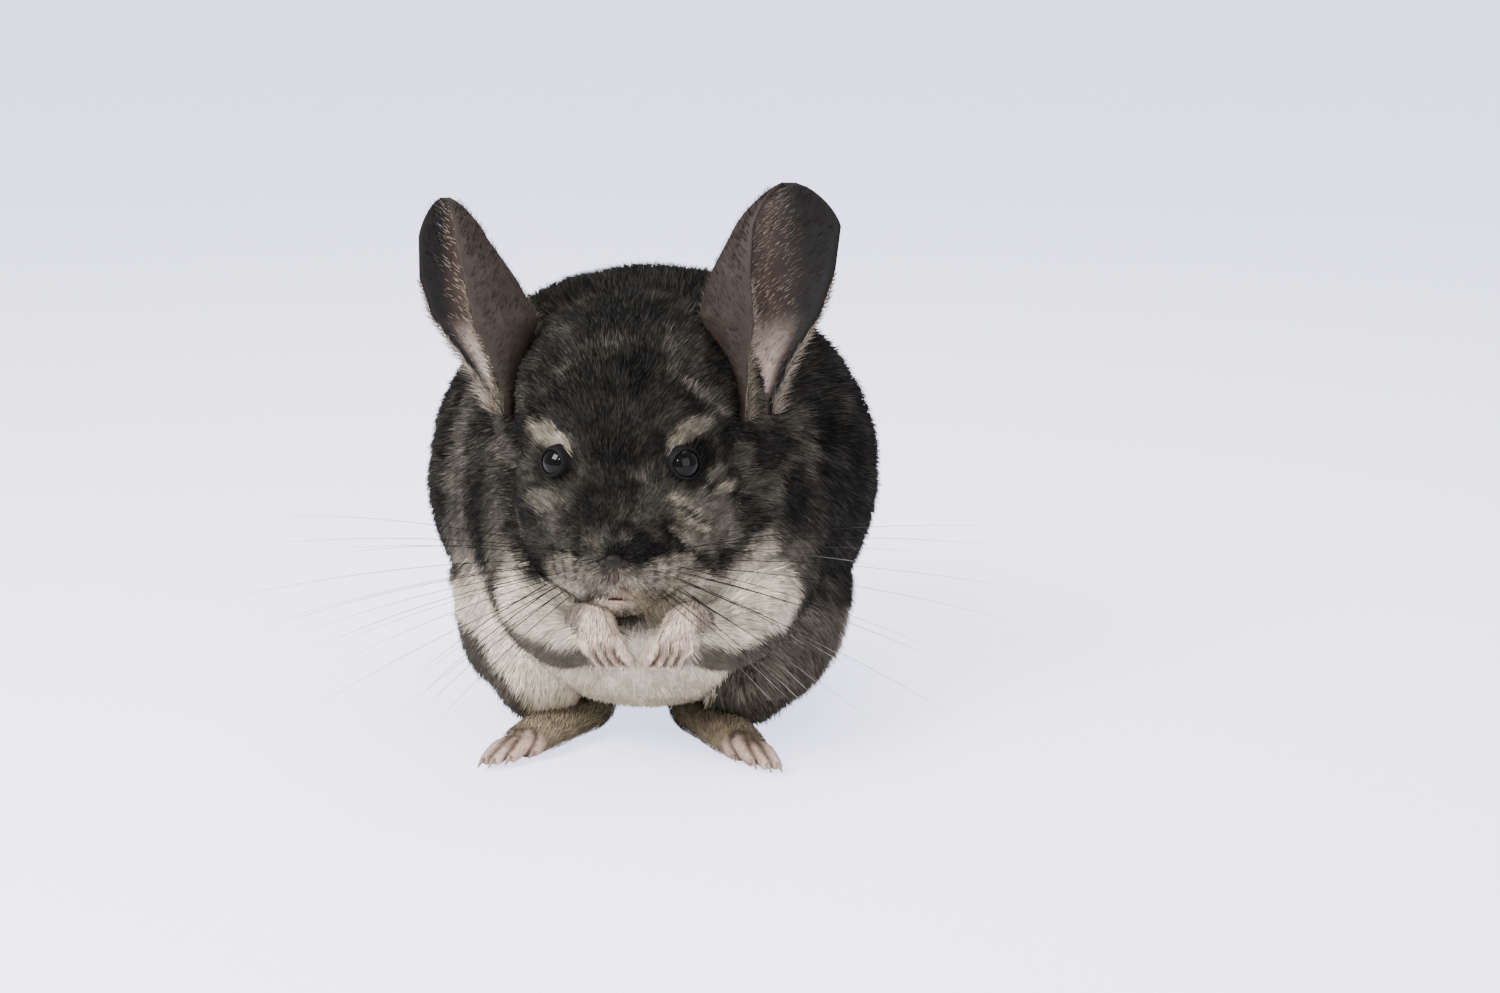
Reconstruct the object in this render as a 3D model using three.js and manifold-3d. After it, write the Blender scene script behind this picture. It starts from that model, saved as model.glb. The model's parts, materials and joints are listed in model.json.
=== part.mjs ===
// A life-size chinchilla, sitting hunched on its hind feet with both forepaws held up to its mouth.
// Millimetres, +Z up. The animal faces -Y, its left side is at +X, and it rests on the plane Z = 0.
// Each solid is the outside of the coat, and the tail, fringe and whiskers are built lock by lock.

import * as THREE from "three";
import { mergeVertices } from "three/addons/utils/BufferGeometryUtils.js";
import Module from "manifold-3d";

const wasm = await Module();
wasm.setup();

// Driving sizes

const eyeHeight = 90; // middle of the eyes above the floor
const backHeight = 130; // top of the arched back above the floor
const bodyWidth = 138; // across the flanks
const bodyLength = 150; // chest to rump
const headWidth = 66; // across the temples, coat and all
const headLength = 76; // nose to the back of the crown
const eyeRadius = 5.4;
const earHeight = 62; // root to tip
const earThickness = 1.1;
const pawWidth = 10.5;
const whiskerLength = 100;
const whiskerThickness = 0.8;
const gap = 0.3; // between neighbouring solids

const colours = {
  coat: 0x4a4743,
  belly: 0xd9cfc2,
  ear: 0x5a4a44,
  eye: 0x0b0a0c,
  skin: 0xd8a898,
  tail: 0x3c3936,
};

const sides = { left: 1, right: -1 };
const names = Object.keys(sides);

const vec = (x, y, z) => new THREE.Vector3(x, y, z);
const mix = (a, b, t) => a + (b - a) * t;
const mixVec = (a, b, t) => a.clone().lerp(b, t);
const clamp01 = (t) => Math.min(1, Math.max(0, t));
const smooth = (t) => clamp01(t) ** 2 * (3 - 2 * clamp01(t));

// A seeded draw, so that every build is the same.
function drawer(seed) {
  let state = seed;
  return () => {
    state = (state * 1664525 + 1013904223) % 4294967296;
    return state / 4294967296;
  };
}

// Solids

function solid(geometry) {
  const bare = new THREE.BufferGeometry().setAttribute("position", geometry.getAttribute("position"));
  if (geometry.index) bare.setIndex(geometry.index);
  const merged = mergeVertices(bare, 1e-4);
  return new wasm.Manifold(
    new wasm.Mesh({
      numProp: 3,
      vertProperties: new Float32Array(merged.attributes.position.array),
      triVerts: new Uint32Array(merged.index.array),
    }),
  );
}

const largest = (body) => body.decompose().sort((a, b) => b.volume() - a.volume())[0];
const joined = (bodies) => bodies.reduce((all, one) => all.add(one));
const cutBy = (body, cutters) => cutters.reduce((left, cutter) => left.subtract(cutter), body);

// Signed distance from a point to one lump, an ellipsoid that may be turned about the X axis.
function toLump(lump, point) {
  const p = point.clone().sub(lump.at);
  if (lump.turn) p.applyAxisAngle(vec(1, 0, 0), -THREE.MathUtils.degToRad(lump.turn));
  const scaled = p.clone().divide(lump.size);
  const steep = scaled.clone().divide(lump.size).length();
  const k = scaled.length();
  return steep < 1e-9 ? -lump.size.x : (k * (k - 1)) / steep;
}

// Signed distance to the soft blend of several lumps.
function toForm(form, point) {
  let found = Infinity;
  for (const lump of form.lumps) {
    const d = toLump(lump, point);
    const h = Math.max(form.blend - Math.abs(found - d), 0) / form.blend;
    found = Math.min(found, d) - (Number.isFinite(h) ? (h * h * form.blend) / 4 : 0);
  }
  return found;
}

// Where a ray from the form's middle leaves the form.
function onForm(form, direction) {
  let t = form.span;
  for (let step = 0; step < 60; step += 1) {
    const d = toForm(form, form.middle.clone().addScaledVector(direction, t));
    if (Math.abs(d) < 1e-3) break;
    t -= d * 0.9;
  }
  return form.middle.clone().addScaledVector(direction, t);
}

// A closed skin of even triangles drawn over a form. Grow moves it outwards, for cutting a neighbour clear.
function drawn(form, grow = 0) {
  const geometry = new THREE.IcosahedronGeometry(1, form.detail);
  const places = geometry.getAttribute("position");
  for (let i = 0; i < places.count; i += 1) {
    const direction = vec(places.getX(i), places.getY(i), places.getZ(i)).normalize();
    const place = onForm(form, direction);
    place.addScaledVector(direction, grow * 1.15);
    places.setXYZ(i, place.x, place.y, place.z);
  }
  return solid(geometry);
}

const lump = (x, y, z, rx, ry, rz, turn = 0) => ({ at: vec(x, y, z), size: vec(rx, ry, rz), turn });
const pair = (x, ...rest) => [lump(-x, ...rest), lump(x, ...rest)];

// A closed mesh of places and faces, turned right side out if need be.
function facingOut(places, faces) {
  const geometry = new THREE.BufferGeometry();
  const numbers = places.flatMap((p) => [p.x, p.y, p.z]);
  geometry.setAttribute("position", new THREE.Float32BufferAttribute(numbers, 3));
  geometry.setIndex(faces);
  const made = solid(geometry);
  if (made.volume() > 0) return made;
  geometry.setIndex(faces.flatMap((_, i) => (i % 3 ? [] : [faces[i], faces[i + 2], faces[i + 1]])));
  return solid(geometry);
}

// A closed rod along a curve, with a flat or round section and pointed or blunt ends.
// Wide and thick give its half-sizes at t from 0 to 1, and up is the side that thick is measured along.
function rod({ points, wide, thick = wide, sides = 6, steps = 6, up = vec(0, 0, 1) }) {
  const curve = new THREE.CatmullRomCurve3(points, false, "centripetal");
  const places = [];
  const faces = [];
  const ring = (k, s) => 1 + k * sides + ((s + sides) % sides);
  const rings = steps + 1;
  places.push(curve.getPoint(0));
  for (let k = 0; k < rings; k += 1) {
    const t = k / steps;
    const along = curve.getTangent(t);
    const across = new THREE.Vector3().crossVectors(along, up).normalize();
    const over = new THREE.Vector3().crossVectors(across, along).normalize();
    const middle = curve.getPoint(t);
    for (let s = 0; s < sides; s += 1) {
      const a = (s / sides) * Math.PI * 2;
      const place = middle.clone().addScaledVector(across, Math.cos(a) * wide(t));
      places.push(place.addScaledVector(over, Math.sin(a) * thick(t)));
    }
  }
  places.push(curve.getPoint(1));
  const last = places.length - 1;
  for (let s = 0; s < sides; s += 1) {
    faces.push(0, ring(0, s), ring(0, s + 1));
    for (let k = 0; k < steps; k += 1) {
      faces.push(ring(k, s), ring(k + 1, s), ring(k + 1, s + 1));
      faces.push(ring(k, s), ring(k + 1, s + 1), ring(k, s + 1));
    }
    faces.push(last, ring(steps, s + 1), ring(steps, s));
  }
  return facingOut(places, faces);
}

// A radius that runs through a list of values.
function through(values, grow = 0) {
  return (t) => {
    const at = t * (values.length - 1);
    const low = Math.min(Math.floor(at), values.length - 2);
    return mix(values[low], values[low + 1], at - low) + grow;
  };
}

// Flesh forms, placed from the eyes' middle at Y = 0

const bodyMiddle = vec(2, bodyLength * 0.46, backHeight * 0.5);

const torsoForm = {
  middle: bodyMiddle,
  span: 130,
  blend: 22,
  detail: 7,
  lumps: [
    lump(0, bodyMiddle.y + 18, 62, bodyWidth / 2 - 2, bodyLength * 0.4, 63),
    lump(3, bodyMiddle.y - 10, backHeight - 56, bodyWidth / 2 - 3, bodyLength * 0.38, 57),
    lump(4, 22, 50, 46, 34, 40),
  ],
};

const neckForm = {
  middle: vec(1, 26, eyeHeight + 4),
  span: 80,
  blend: 16,
  detail: 4,
  lumps: [
    lump(1, 26, eyeHeight + 6, headWidth / 2 + 9, 27, 36), // nape and sides
    lump(3, 12, eyeHeight - 24, headWidth / 2, 19, 21), // throat
  ],
};

const headForm = {
  middle: vec(0, -2, eyeHeight - 6),
  span: 90,
  blend: 10,
  detail: 8,
  lumps: [
    lump(0, 17, eyeHeight + 13, headWidth / 2, headLength * 0.4, 28), // crown
    lump(0, -2, eyeHeight - 2, 17, 20, 17, 35), // bridge of the nose
    lump(0, -15, eyeHeight - 17, 12, 15, 11, 30), // muzzle
    lump(0, -26.5, eyeHeight - 20, 6, 5.5, 5), // nose
    ...pair(15, 4, eyeHeight - 12, 17, 20, 18), // cheeks
    ...pair(9, -16, eyeHeight - 24, 11, 11, 9), // whisker pads
    ...pair(5.5, -19, eyeHeight - 31, 6, 7, 5.5), // upper lips
    ...pair(12, 0, eyeHeight - 27, 14, 16, 12), // jowls
    lump(0, -12, eyeHeight - 37, 7, 7, 5), // chin and lower lip
  ],
};

function thighForm(side) {
  return {
    middle: vec(2 + side * 36, 56, 34),
    span: 70,
    blend: 14,
    detail: 4,
    lumps: [lump(2 + side * 38, 60, 38, 24, 43, 36), lump(2 + side * 29, 26, 24, 19, 23, 20)],
  };
}

const floorBlock = solid(new THREE.BoxGeometry(700, 700, 80).translate(0, 0, -40));

// Ears

// Each ear is a cupped leaf whose mouth looks outwards and a little forwards. Three lines run up it from
// the root to the tip: the turn of the leaf next to the crown, its front edge, and its rear edge.
// Each line is given by its distance from the middle of the head at even steps of height.
const ears = {
  left: {
    height: earHeight,
    tip: 45,
    turn: [31, 26.5, 20.8, 24.5, 31, 38],
    front: [34, 34.5, 36, 35, 35.5, 38],
    rear: [41, 46.5, 54.5, 58.5, 60, 56],
  },
  right: {
    height: earHeight * 0.92,
    tip: 52.6,
    turn: [32, 30, 26.4, 32.6, 40.8, 46],
    front: [35, 38, 43, 45.6, 48.5, 50],
    rear: [39, 47.5, 56.5, 60.2, 60.2, 58],
  },
};
const tipStart = 0.8; // where an ear starts to round off towards its tip
const earRoot = { y: 16, z: eyeHeight + 12 };

// A smooth run through a few values, read at v from 0 to 1.
function smoothRun(values) {
  const curve = new THREE.CatmullRomCurve3(values.map((value, i) => vec(value, i, 0)));
  return (v) => curve.getPoint(clamp01(v)).x;
}

function earSheet(name) {
  const side = sides[name];
  const { height, tip, turn, front, rear } = ears[name];
  const rows = 10;
  const columns = 10;
  const round = (v) => Math.sqrt(1 - clamp01((v - tipStart) / (1 - tipStart)) ** 2);
  const closing = (line) => (v) => mix(tip, line(v), round(v));
  const [turnAt, frontAt, rearAt] = [turn, front, rear].map((line) => closing(smoothRun(line)));
  const reach = smoothRun([7, 8, 9, 8, 5.5, 2]); // of the front edge ahead of the turn
  const hollow = smoothRun([3, 5, 6.5, 6, 4, 1]); // of the cup behind the turn
  const section = (v) => {
    const z = earRoot.z + v * height;
    const y = earRoot.y + v * 7;
    const at = (x, ahead) => vec(side * x, y - ahead, z);
    return new THREE.CatmullRomCurve3(
      [
        at(frontAt(v), reach(v)),
        at(mix(frontAt(v), turnAt(v), 0.62), reach(v) * 0.72),
        at(turnAt(v), 0),
        at(mix(turnAt(v), rearAt(v), 0.4), -hollow(v)),
        at(rearAt(v), -hollow(v) * 0.35),
      ],
      false,
      "centripetal",
    );
  };
  const place = (v, u, layer) => {
    const curve = section(v);
    const here = curve.getPoint(u);
    const along = curve.getTangent(u);
    const inwards = vec(along.y, -along.x, 0).multiplyScalar(-side).normalize();
    return here.addScaledVector(inwards, layer * mix(earThickness * 1.6, earThickness, smooth(v * 2)));
  };
  const places = [];
  for (const layer of [0, 1]) {
    for (let r = 0; r <= rows; r += 1) {
      for (let c = 0; c <= columns; c += 1) {
        places.push(place(mix(-0.06, 0.996, Math.sin(((r / rows) * Math.PI) / 2)), c / columns, layer));
      }
    }
  }
  return closedSheet(places, rows, columns);
}

// A closed solid from two like sheets of places, the second one lying a little off the first.
function closedSheet(places, rows, columns) {
  const faces = [];
  const index = (layer, r, c) => (layer * (rows + 1) + r) * (columns + 1) + c;
  const quad = (a, b, c, d) => faces.push(a, b, c, a, c, d);
  for (let r = 0; r < rows; r += 1) {
    for (let c = 0; c < columns; c += 1) {
      quad(index(0, r, c), index(0, r, c + 1), index(0, r + 1, c + 1), index(0, r + 1, c));
      faces.push(index(1, r, c), index(1, r + 1, c + 1), index(1, r, c + 1));
      faces.push(index(1, r, c), index(1, r + 1, c), index(1, r + 1, c + 1));
    }
  }
  for (let r = 0; r < rows; r += 1) {
    quad(index(0, r, 0), index(0, r + 1, 0), index(1, r + 1, 0), index(1, r, 0));
    quad(index(0, r, columns), index(1, r, columns), index(1, r + 1, columns), index(0, r + 1, columns));
  }
  for (let c = 0; c < columns; c += 1) {
    quad(index(0, 0, c), index(1, 0, c), index(1, 0, c + 1), index(0, 0, c + 1));
    quad(index(0, rows, c), index(0, rows, c + 1), index(1, rows, c + 1), index(1, rows, c));
  }
  return facingOut(places, faces);
}

// Limbs

const armShift = 6; // the paws meet a little to the animal's left

function foreleg(side, grow = 0) {
  return rod({
    points: [
      vec(armShift + side * 30, 22, 60),
      vec(armShift + side * 31, 8, 49),
      vec(armShift + side * 22, -8, 41),
      vec(armShift + side * 11, -21, 44),
    ],
    wide: through([9, 14, 13, 9.5, 6], grow),
    sides: 10,
    steps: 7,
  });
}

function forepaw(side) {
  const wrist = vec(armShift + side * 12.5, -23, 47);
  const parts = [
    rod({
      points: [wrist.clone().add(vec(side * 3, 5, 1)), wrist, wrist.clone().add(vec(-side * 3, -4, -3))],
      wide: through([3, pawWidth * 0.44, pawWidth * 0.46, 3]),
      thick: through([2.5, 4, 4, 2.5]),
      sides: 10,
      steps: 5,
      up: vec(0, -1, 0.3),
    }),
  ];
  for (let f = 0; f < 4; f += 1) {
    const spread = (f - 1.5) / 1.5;
    const knuckle = wrist.clone().add(vec(-side * (2.5 - spread * 3.6), -5, -3 + spread * 0.6));
    const tip = wrist.clone().add(vec(-side * (6.2 - spread * 4.2), -3.5, -11.5 + Math.abs(spread) * 1.5));
    const root = wrist.clone().add(vec(-side * 1.5, -1, -1));
    parts.push(
      rod({
        points: [root, knuckle, mixVec(knuckle, tip, 0.6).add(vec(0, -1, 0)), tip],
        wide: through([1.2, 1.9, 1.8, 1.6, 0.9]),
        sides: 5,
        steps: 4,
        up: vec(0, -1, 0),
      }),
    );
  }
  return joined(parts);
}

function hindFoot(side) {
  const heel = vec(2 + side * 17, 28, 7);
  const ball = vec(2 + side * 32, -1, 4.5);
  const ahead = ball.clone().sub(heel).setZ(0).normalize();
  const out = vec(side * Math.abs(ahead.y), side * ahead.x * Math.sign(-ahead.y) * -1, 0).normalize();
  const parts = [
    rod({
      points: [heel.clone().add(vec(0, 6, 8)), heel, mixVec(heel, ball, 0.5), ball],
      wide: through([8, 8.5, 7.5, 7.6, 5]),
      thick: through([8, 8, 6, 4.8, 3.4]),
      sides: 10,
      steps: 6,
    }),
  ];
  for (let toe = 0; toe < 4; toe += 1) {
    const spread = (toe - 1.5) / 1.5;
    const from = ball.clone().addScaledVector(out, spread * 4.6).addScaledVector(ahead, -3);
    const length = [8, 12.5, 13, 10.5][toe];
    const to = from.clone().addScaledVector(ahead, length).addScaledVector(out, spread * 2.4).setZ(2.6);
    const middle = mixVec(from, to, 0.55).setZ(4.8);
    parts.push(
      rod({
        points: [from, middle, to],
        wide: through([2.2, 2.9, 2.7, 1.5]),
        thick: through([2.4, 2.7, 2.6, 1.4]),
        sides: 5,
        steps: 4,
      }),
    );
    const nail = to.clone().addScaledVector(ahead, 3.2).setZ(1.3);
    const bed = to.clone().addScaledVector(ahead, -1.2);
    parts.push(rod({ points: [bed, nail], wide: through([0.9, 0.3]), sides: 5, steps: 2 }));
  }
  return joined(parts);
}

// Tail

const tailLine = new THREE.CatmullRomCurve3([
  vec(2, 132, 27),
  vec(-1, 150, 16),
  vec(-8, 170, 10),
  vec(-19, 190, 8),
  vec(-32, 207, 8),
  vec(-45, 219, 12),
]);
const tailWidths = [11, 10, 9, 8, 7.5, 7, 5.5, 3]; // of the dense core
const tailSplit = 0.3; // where the short-haired root gives way to the brush
const brushReach = 18; // of the longest lock tips, away from the middle of the tail

function tailCore() {
  return rod({ points: tailLine.getSpacedPoints(8), wide: through(tailWidths), sides: 10, steps: 12 });
}

// One flat tapered lock. It leaves the core along a slant and bends back along the tail.
function tailLock(t, angle, length, lift) {
  const along = tailLine.getTangentAt(t);
  const across = new THREE.Vector3().crossVectors(along, vec(0, 0, 1)).normalize();
  const over = new THREE.Vector3().crossVectors(across, along);
  const out = across.clone().multiplyScalar(Math.cos(angle)).addScaledVector(over, Math.sin(angle));
  const radius = through(tailWidths)(t);
  const middle = tailLine.getPointAt(t);
  const at = (forward, outward) => {
    const place = middle.clone().addScaledVector(along, forward * length).addScaledVector(out, outward);
    return place.setZ(Math.max(place.z, 1.2));
  };
  const reach = mix(radius, brushReach, lift);
  return rod({
    points: [
      at(-0.06, radius * 0.45),
      at(0.12, radius * 0.95),
      at(0.55, mix(radius, reach, 0.75)),
      at(1, reach),
    ],
    wide: through([3.6, 5.2, 5, 3.2, 0.5]),
    thick: through([1.4, 1.4, 1.2, 0.9, 0.3]),
    sides: 4,
    steps: 3,
    up: out,
  });
}

function tailBrush() {
  const draw = drawer(41);
  const locks = [];
  const rings = 7;
  const perRing = 5;
  for (let ring = 0; ring < rings; ring += 1) {
    for (let n = 0; n < perRing; n += 1) {
      const t = mix(tailSplit + 0.05, 0.96, (ring + 0.5 * (n % 2) + 0.3 * (draw() - 0.5)) / (rings - 0.5));
      const turn = (n + 0.5 * (ring % 2)) / (perRing - 0.5);
      const angle = mix(-0.15, Math.PI + 0.15, turn) + (draw() - 0.5) * 0.2;
      const upwards = Math.max(0, Math.sin(angle));
      const length = mix(24, 34, upwards) * mix(0.85, 1.1, draw());
      locks.push(tailLock(t, angle, length, mix(0.55, 1, upwards) * mix(0.85, 1, draw())));
    }
  }
  return locks;
}

// A large block that takes away all that lies past a point, along a direction.
function blockPast(point, direction) {
  const size = 300;
  const block = new THREE.BoxGeometry(size, size, size).translate(0, 0, size / 2);
  block.applyQuaternion(new THREE.Quaternion().setFromUnitVectors(vec(0, 0, 1), direction));
  return solid(block.translate(point.x, point.y, point.z));
}

// Head details

const faceRay = (x, y, z) => onForm(headForm, vec(x, y, z).sub(headForm.middle).normalize());

function eyeOf(side) {
  const surface = faceRay(side * 20.8, -13, eyeHeight + 1);
  const facing = vec(side * 0.74, -0.62, 0.2).normalize();
  return { centre: surface.clone().addScaledVector(facing, -eyeRadius + 1.5), facing };
}

function ball(centre, radius, detail = 3) {
  return solid(new THREE.IcosahedronGeometry(radius, detail).translate(centre.x, centre.y, centre.z));
}

function lidOf(side) {
  const { centre, facing } = eyeOf(side);
  const ring = new THREE.TorusGeometry(eyeRadius * 0.84, 1.5, 5, 16);
  ring.scale(0.94, 1.06, 1);
  ring.applyQuaternion(new THREE.Quaternion().setFromUnitVectors(vec(0, 0, 1), facing));
  const seat = centre.clone().addScaledVector(facing, eyeRadius * 0.48);
  return solid(ring.translate(seat.x, seat.y, seat.z));
}


function whiskers(side) {
  const draw = drawer(7 + side);
  const made = [];
  const rowsOf = 5;
  const perRow = 2;
  for (let row = 0; row < rowsOf; row += 1) {
    for (let n = 0; n < perRow; n += 1) {
      const root = faceRay(side * (13 + n * 2.2), -24 + n * 2.5, eyeHeight - 20 - row * 2.4);
      const inward = headForm.middle.clone().sub(root).normalize();
      const length = whiskerLength * (0.72 + 0.28 * draw()) * (row > 2 ? 0.62 : 1);
      const rise = THREE.MathUtils.degToRad(mix(8, -38, row / (rowsOf - 1)) + (draw() - 0.5) * 12);
      const sweep = THREE.MathUtils.degToRad(mix(-18, 12, n / (perRow - 1)) + (draw() - 0.5) * 10);
      const out = vec(side * Math.cos(rise) * Math.cos(sweep), Math.sin(sweep), Math.sin(rise));
      const middle = root.clone().addScaledVector(out, length * 0.5).add(vec(0, 0, 3));
      const tip = root.clone().addScaledVector(out, length).add(vec(0, 4, -length * 0.09));
      made.push(
        rod({
          points: [root.clone().addScaledVector(inward, 2.5), root, middle, tip],
          wide: (t) => mix(whiskerThickness, 0.35, t) / 2,
          sides: 3,
          steps: 4,
        }),
      );
    }
  }
  return made;
}

// A groove pressed into the face along a line of places given by their offset across and below the eyes.
function crease(line, radius) {
  return rod({
    points: line.map(([x, below]) => faceRay(x, -24, eyeHeight - below)),
    wide: through([radius * 0.5, radius, radius, radius * 0.5]),
    sides: 5,
    steps: 6,
  });
}

function creases() {
  const mouth = [[-10, 31], [-5.5, 35], [-1.5, 35.5], [0, 34], [1.5, 35.5], [5.5, 35], [10, 31]];
  const cleft = [[0, 25], [0, 29], [0, 35]];
  const nostril = (side) => [[side * 1.2, 22.5], [side * 2.8, 21], [side * 4.6, 21.2]];
  return [crease(mouth, 0.9), crease(cleft, 0.6), crease(nostril(-1), 0.8), crease(nostril(1), 0.8)];
}

function headSolid() {
  const flesh = drawn(headForm);
  const parts = [flesh, lidOf(-1), lidOf(1), ...whiskers(-1), ...whiskers(1)];
  const sockets = [-1, 1].map((side) => ball(eyeOf(side).centre, eyeRadius + gap * 1.6, 2));
  return largest(cutBy(joined(parts), [...sockets, ...creases()]));
}

// Nodes

const group = new THREE.Group();
group.name = "chinchilla";

function addNode(name, body, colour, roughness = 0.9) {
  const mesh = body.getMesh();
  const geometry = new THREE.BufferGeometry();
  geometry.setAttribute("position", new THREE.BufferAttribute(new Float32Array(mesh.vertProperties), 3));
  geometry.setIndex(new THREE.BufferAttribute(new Uint32Array(mesh.triVerts), 1));
  geometry.computeVertexNormals();
  const material = new THREE.MeshStandardMaterial({ color: colour, roughness, metalness: 0 });
  const made = new THREE.Mesh(geometry, material);
  made.name = name;
  group.add(made);
}

// Slightly larger copies, which cut a neighbour clear.
const headGrown = drawn({ ...headForm, detail: 6 }, gap * 2);
const neckGrown = drawn(neckForm, gap * 1.4);
const thighsGrown = names.map((name) => drawn(thighForm(sides[name]), gap * 1.4));
const armsGrown = names.map((name) => foreleg(sides[name], gap * 1.4));
const torsoGrown = drawn({ ...torsoForm, detail: 5 }, gap * 3);

const lidsGrown = names.map((name) => ball(eyeOf(sides[name]).centre, eyeRadius + 2.8, 1));

const torsoNeighbours = [floorBlock, headGrown, neckGrown, ...lidsGrown, ...thighsGrown, ...armsGrown];
const add = (name, body, cutters, colour) => addNode(name, largest(cutBy(body, cutters)), colour);

add("torso", drawn(torsoForm), torsoNeighbours, colours.coat);
add("neck", drawn(neckForm), [headGrown, ...armsGrown, ...thighsGrown], colours.coat);
addNode("head", headSolid(), colours.coat);
for (const name of names) {
  const side = sides[name];
  addNode("eye_" + name, ball(eyeOf(side).centre, eyeRadius, 2), colours.eye, 0.05);
  add("ear_" + name, earSheet(name), [headGrown, neckGrown, torsoGrown], colours.ear);
  add("foreleg_" + name, foreleg(side), [headGrown, ...thighsGrown], colours.belly);
  add("forepaw_" + name, forepaw(side), [foreleg(side, gap), headGrown], colours.belly);
  add("thigh_" + name, drawn(thighForm(side)), [floorBlock], colours.coat);
  add("hindfoot_" + name, hindFoot(side), [floorBlock, torsoGrown, ...thighsGrown], colours.belly);
}

const splitAt = tailLine.getPointAt(tailSplit);
const splitAlong = tailLine.getTangentAt(tailSplit);
const pastRoot = blockPast(splitAt.clone().addScaledVector(splitAlong, -gap / 2), splitAlong);
const backwards = splitAlong.clone().negate();
const beforeBrush = blockPast(splitAt.clone().addScaledVector(splitAlong, gap / 2), backwards);
add("tail", tailCore(), [floorBlock, torsoGrown, pastRoot], colours.tail);
add("tail_tip", joined([tailCore(), ...tailBrush()]), [floorBlock, beforeBrush], colours.tail);

// The part's origin is the middle of its outline on the floor.
const outline = new THREE.Box3().setFromObject(group);
const centre = outline.getCenter(vec(0, 0, 0));
group.position.set(-centre.x, -centre.y, -outline.min.z);

export default group;
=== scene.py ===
import json
import math
import bpy
import numpy as np
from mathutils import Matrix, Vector

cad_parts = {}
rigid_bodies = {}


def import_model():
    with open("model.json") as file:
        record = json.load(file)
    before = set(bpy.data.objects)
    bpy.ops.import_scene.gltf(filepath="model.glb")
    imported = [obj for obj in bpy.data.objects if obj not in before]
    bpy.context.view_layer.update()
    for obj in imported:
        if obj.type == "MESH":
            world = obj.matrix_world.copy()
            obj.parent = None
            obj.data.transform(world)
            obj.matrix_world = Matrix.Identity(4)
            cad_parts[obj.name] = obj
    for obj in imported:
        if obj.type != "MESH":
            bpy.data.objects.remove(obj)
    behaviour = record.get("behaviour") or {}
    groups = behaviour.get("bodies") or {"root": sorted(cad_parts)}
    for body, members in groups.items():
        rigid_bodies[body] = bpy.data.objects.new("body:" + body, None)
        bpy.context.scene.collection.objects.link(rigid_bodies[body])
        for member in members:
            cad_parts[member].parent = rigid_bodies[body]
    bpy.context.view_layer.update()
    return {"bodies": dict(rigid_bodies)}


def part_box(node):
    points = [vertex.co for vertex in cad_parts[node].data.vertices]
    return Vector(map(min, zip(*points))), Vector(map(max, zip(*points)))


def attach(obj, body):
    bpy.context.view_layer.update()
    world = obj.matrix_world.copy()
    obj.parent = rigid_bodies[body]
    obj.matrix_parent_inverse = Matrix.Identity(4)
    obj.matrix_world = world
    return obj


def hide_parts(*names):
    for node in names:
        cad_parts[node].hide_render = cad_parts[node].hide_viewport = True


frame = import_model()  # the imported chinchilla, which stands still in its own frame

body = list(frame["bodies"])[0]
draw = np.random.default_rng(11)
mm = 0.001

# The animal is laid out in millimetres, facing -Y, from a point on the floor under its head.
# The eyes' middle is the one place that ties this to the frame.
eyesMiddle = np.array([0.0, -9.82, 89.75])
eyeBoxes = {side: np.array(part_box("eye_" + side)) for side in ("left", "right")}
origin = sum(box.mean(0) for box in eyeBoxes.values()) / 2 - eyesMiddle * mm
eyeCentre = {side: (box.mean(0) - origin) / mm for side, box in eyeBoxes.items()}
eyeRadius = (eyeBoxes["left"][1] - eyeBoxes["left"][0]).mean() / 2 / mm
sideSign = {"left": 1, "right": -1}


def toFrame(places):
    return np.asarray(places, float) * mm + origin


def lengths(vectors):
    return np.linalg.norm(vectors, axis=-1)


def unit(vectors):
    return vectors / np.maximum(np.linalg.norm(vectors, axis=-1, keepdims=True), 1e-9)


def smooth(t):
    t = np.clip(t, 0, 1)
    return t * t * (3 - 2 * t)


def mix(a, b, t):
    return a + (b - a) * t


def vary(low, high, count):  # random sizes between two
    return mix(low, high, draw.random(count))


def jitter(count):  # random steps in every direction, half a unit at most along each axis
    return draw.random((count, 3)) - 0.5


def howMany(piece):
    return piece["count"]


def blendRows(a, b, t):  # the same for rows such as colours, with one t for each row
    return np.asarray(a) * (1 - t[:, None]) + np.asarray(b) * t[:, None]


noiseGrid = np.random.default_rng(5).random((32, 32, 32))


def softNoise(places, size, shift=0.0):  # smooth noise from 0 to 1 with lumps about size across
    at = np.asarray(places) / size + shift
    low = np.floor(at).astype(int)
    part = smooth(at - low)
    total = 0
    for corner in np.ndindex(2, 2, 2):
        weight = np.where(corner, part, 1 - part).prod(1)
        total = total + weight * noiseGrid[tuple(((low + corner) % 32).T)]
    return total


# Camera

camera = {
    "lens": 70, "sensor": 36, "distance": 810, "azimuth": 5.5, "elevation": 13,
    "imageWidth": 1500, "imageHeight": 993,
}
eyesPixel = (621, 462)  # where the middle of the eyes stands in the 1500 by 993 picture

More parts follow.
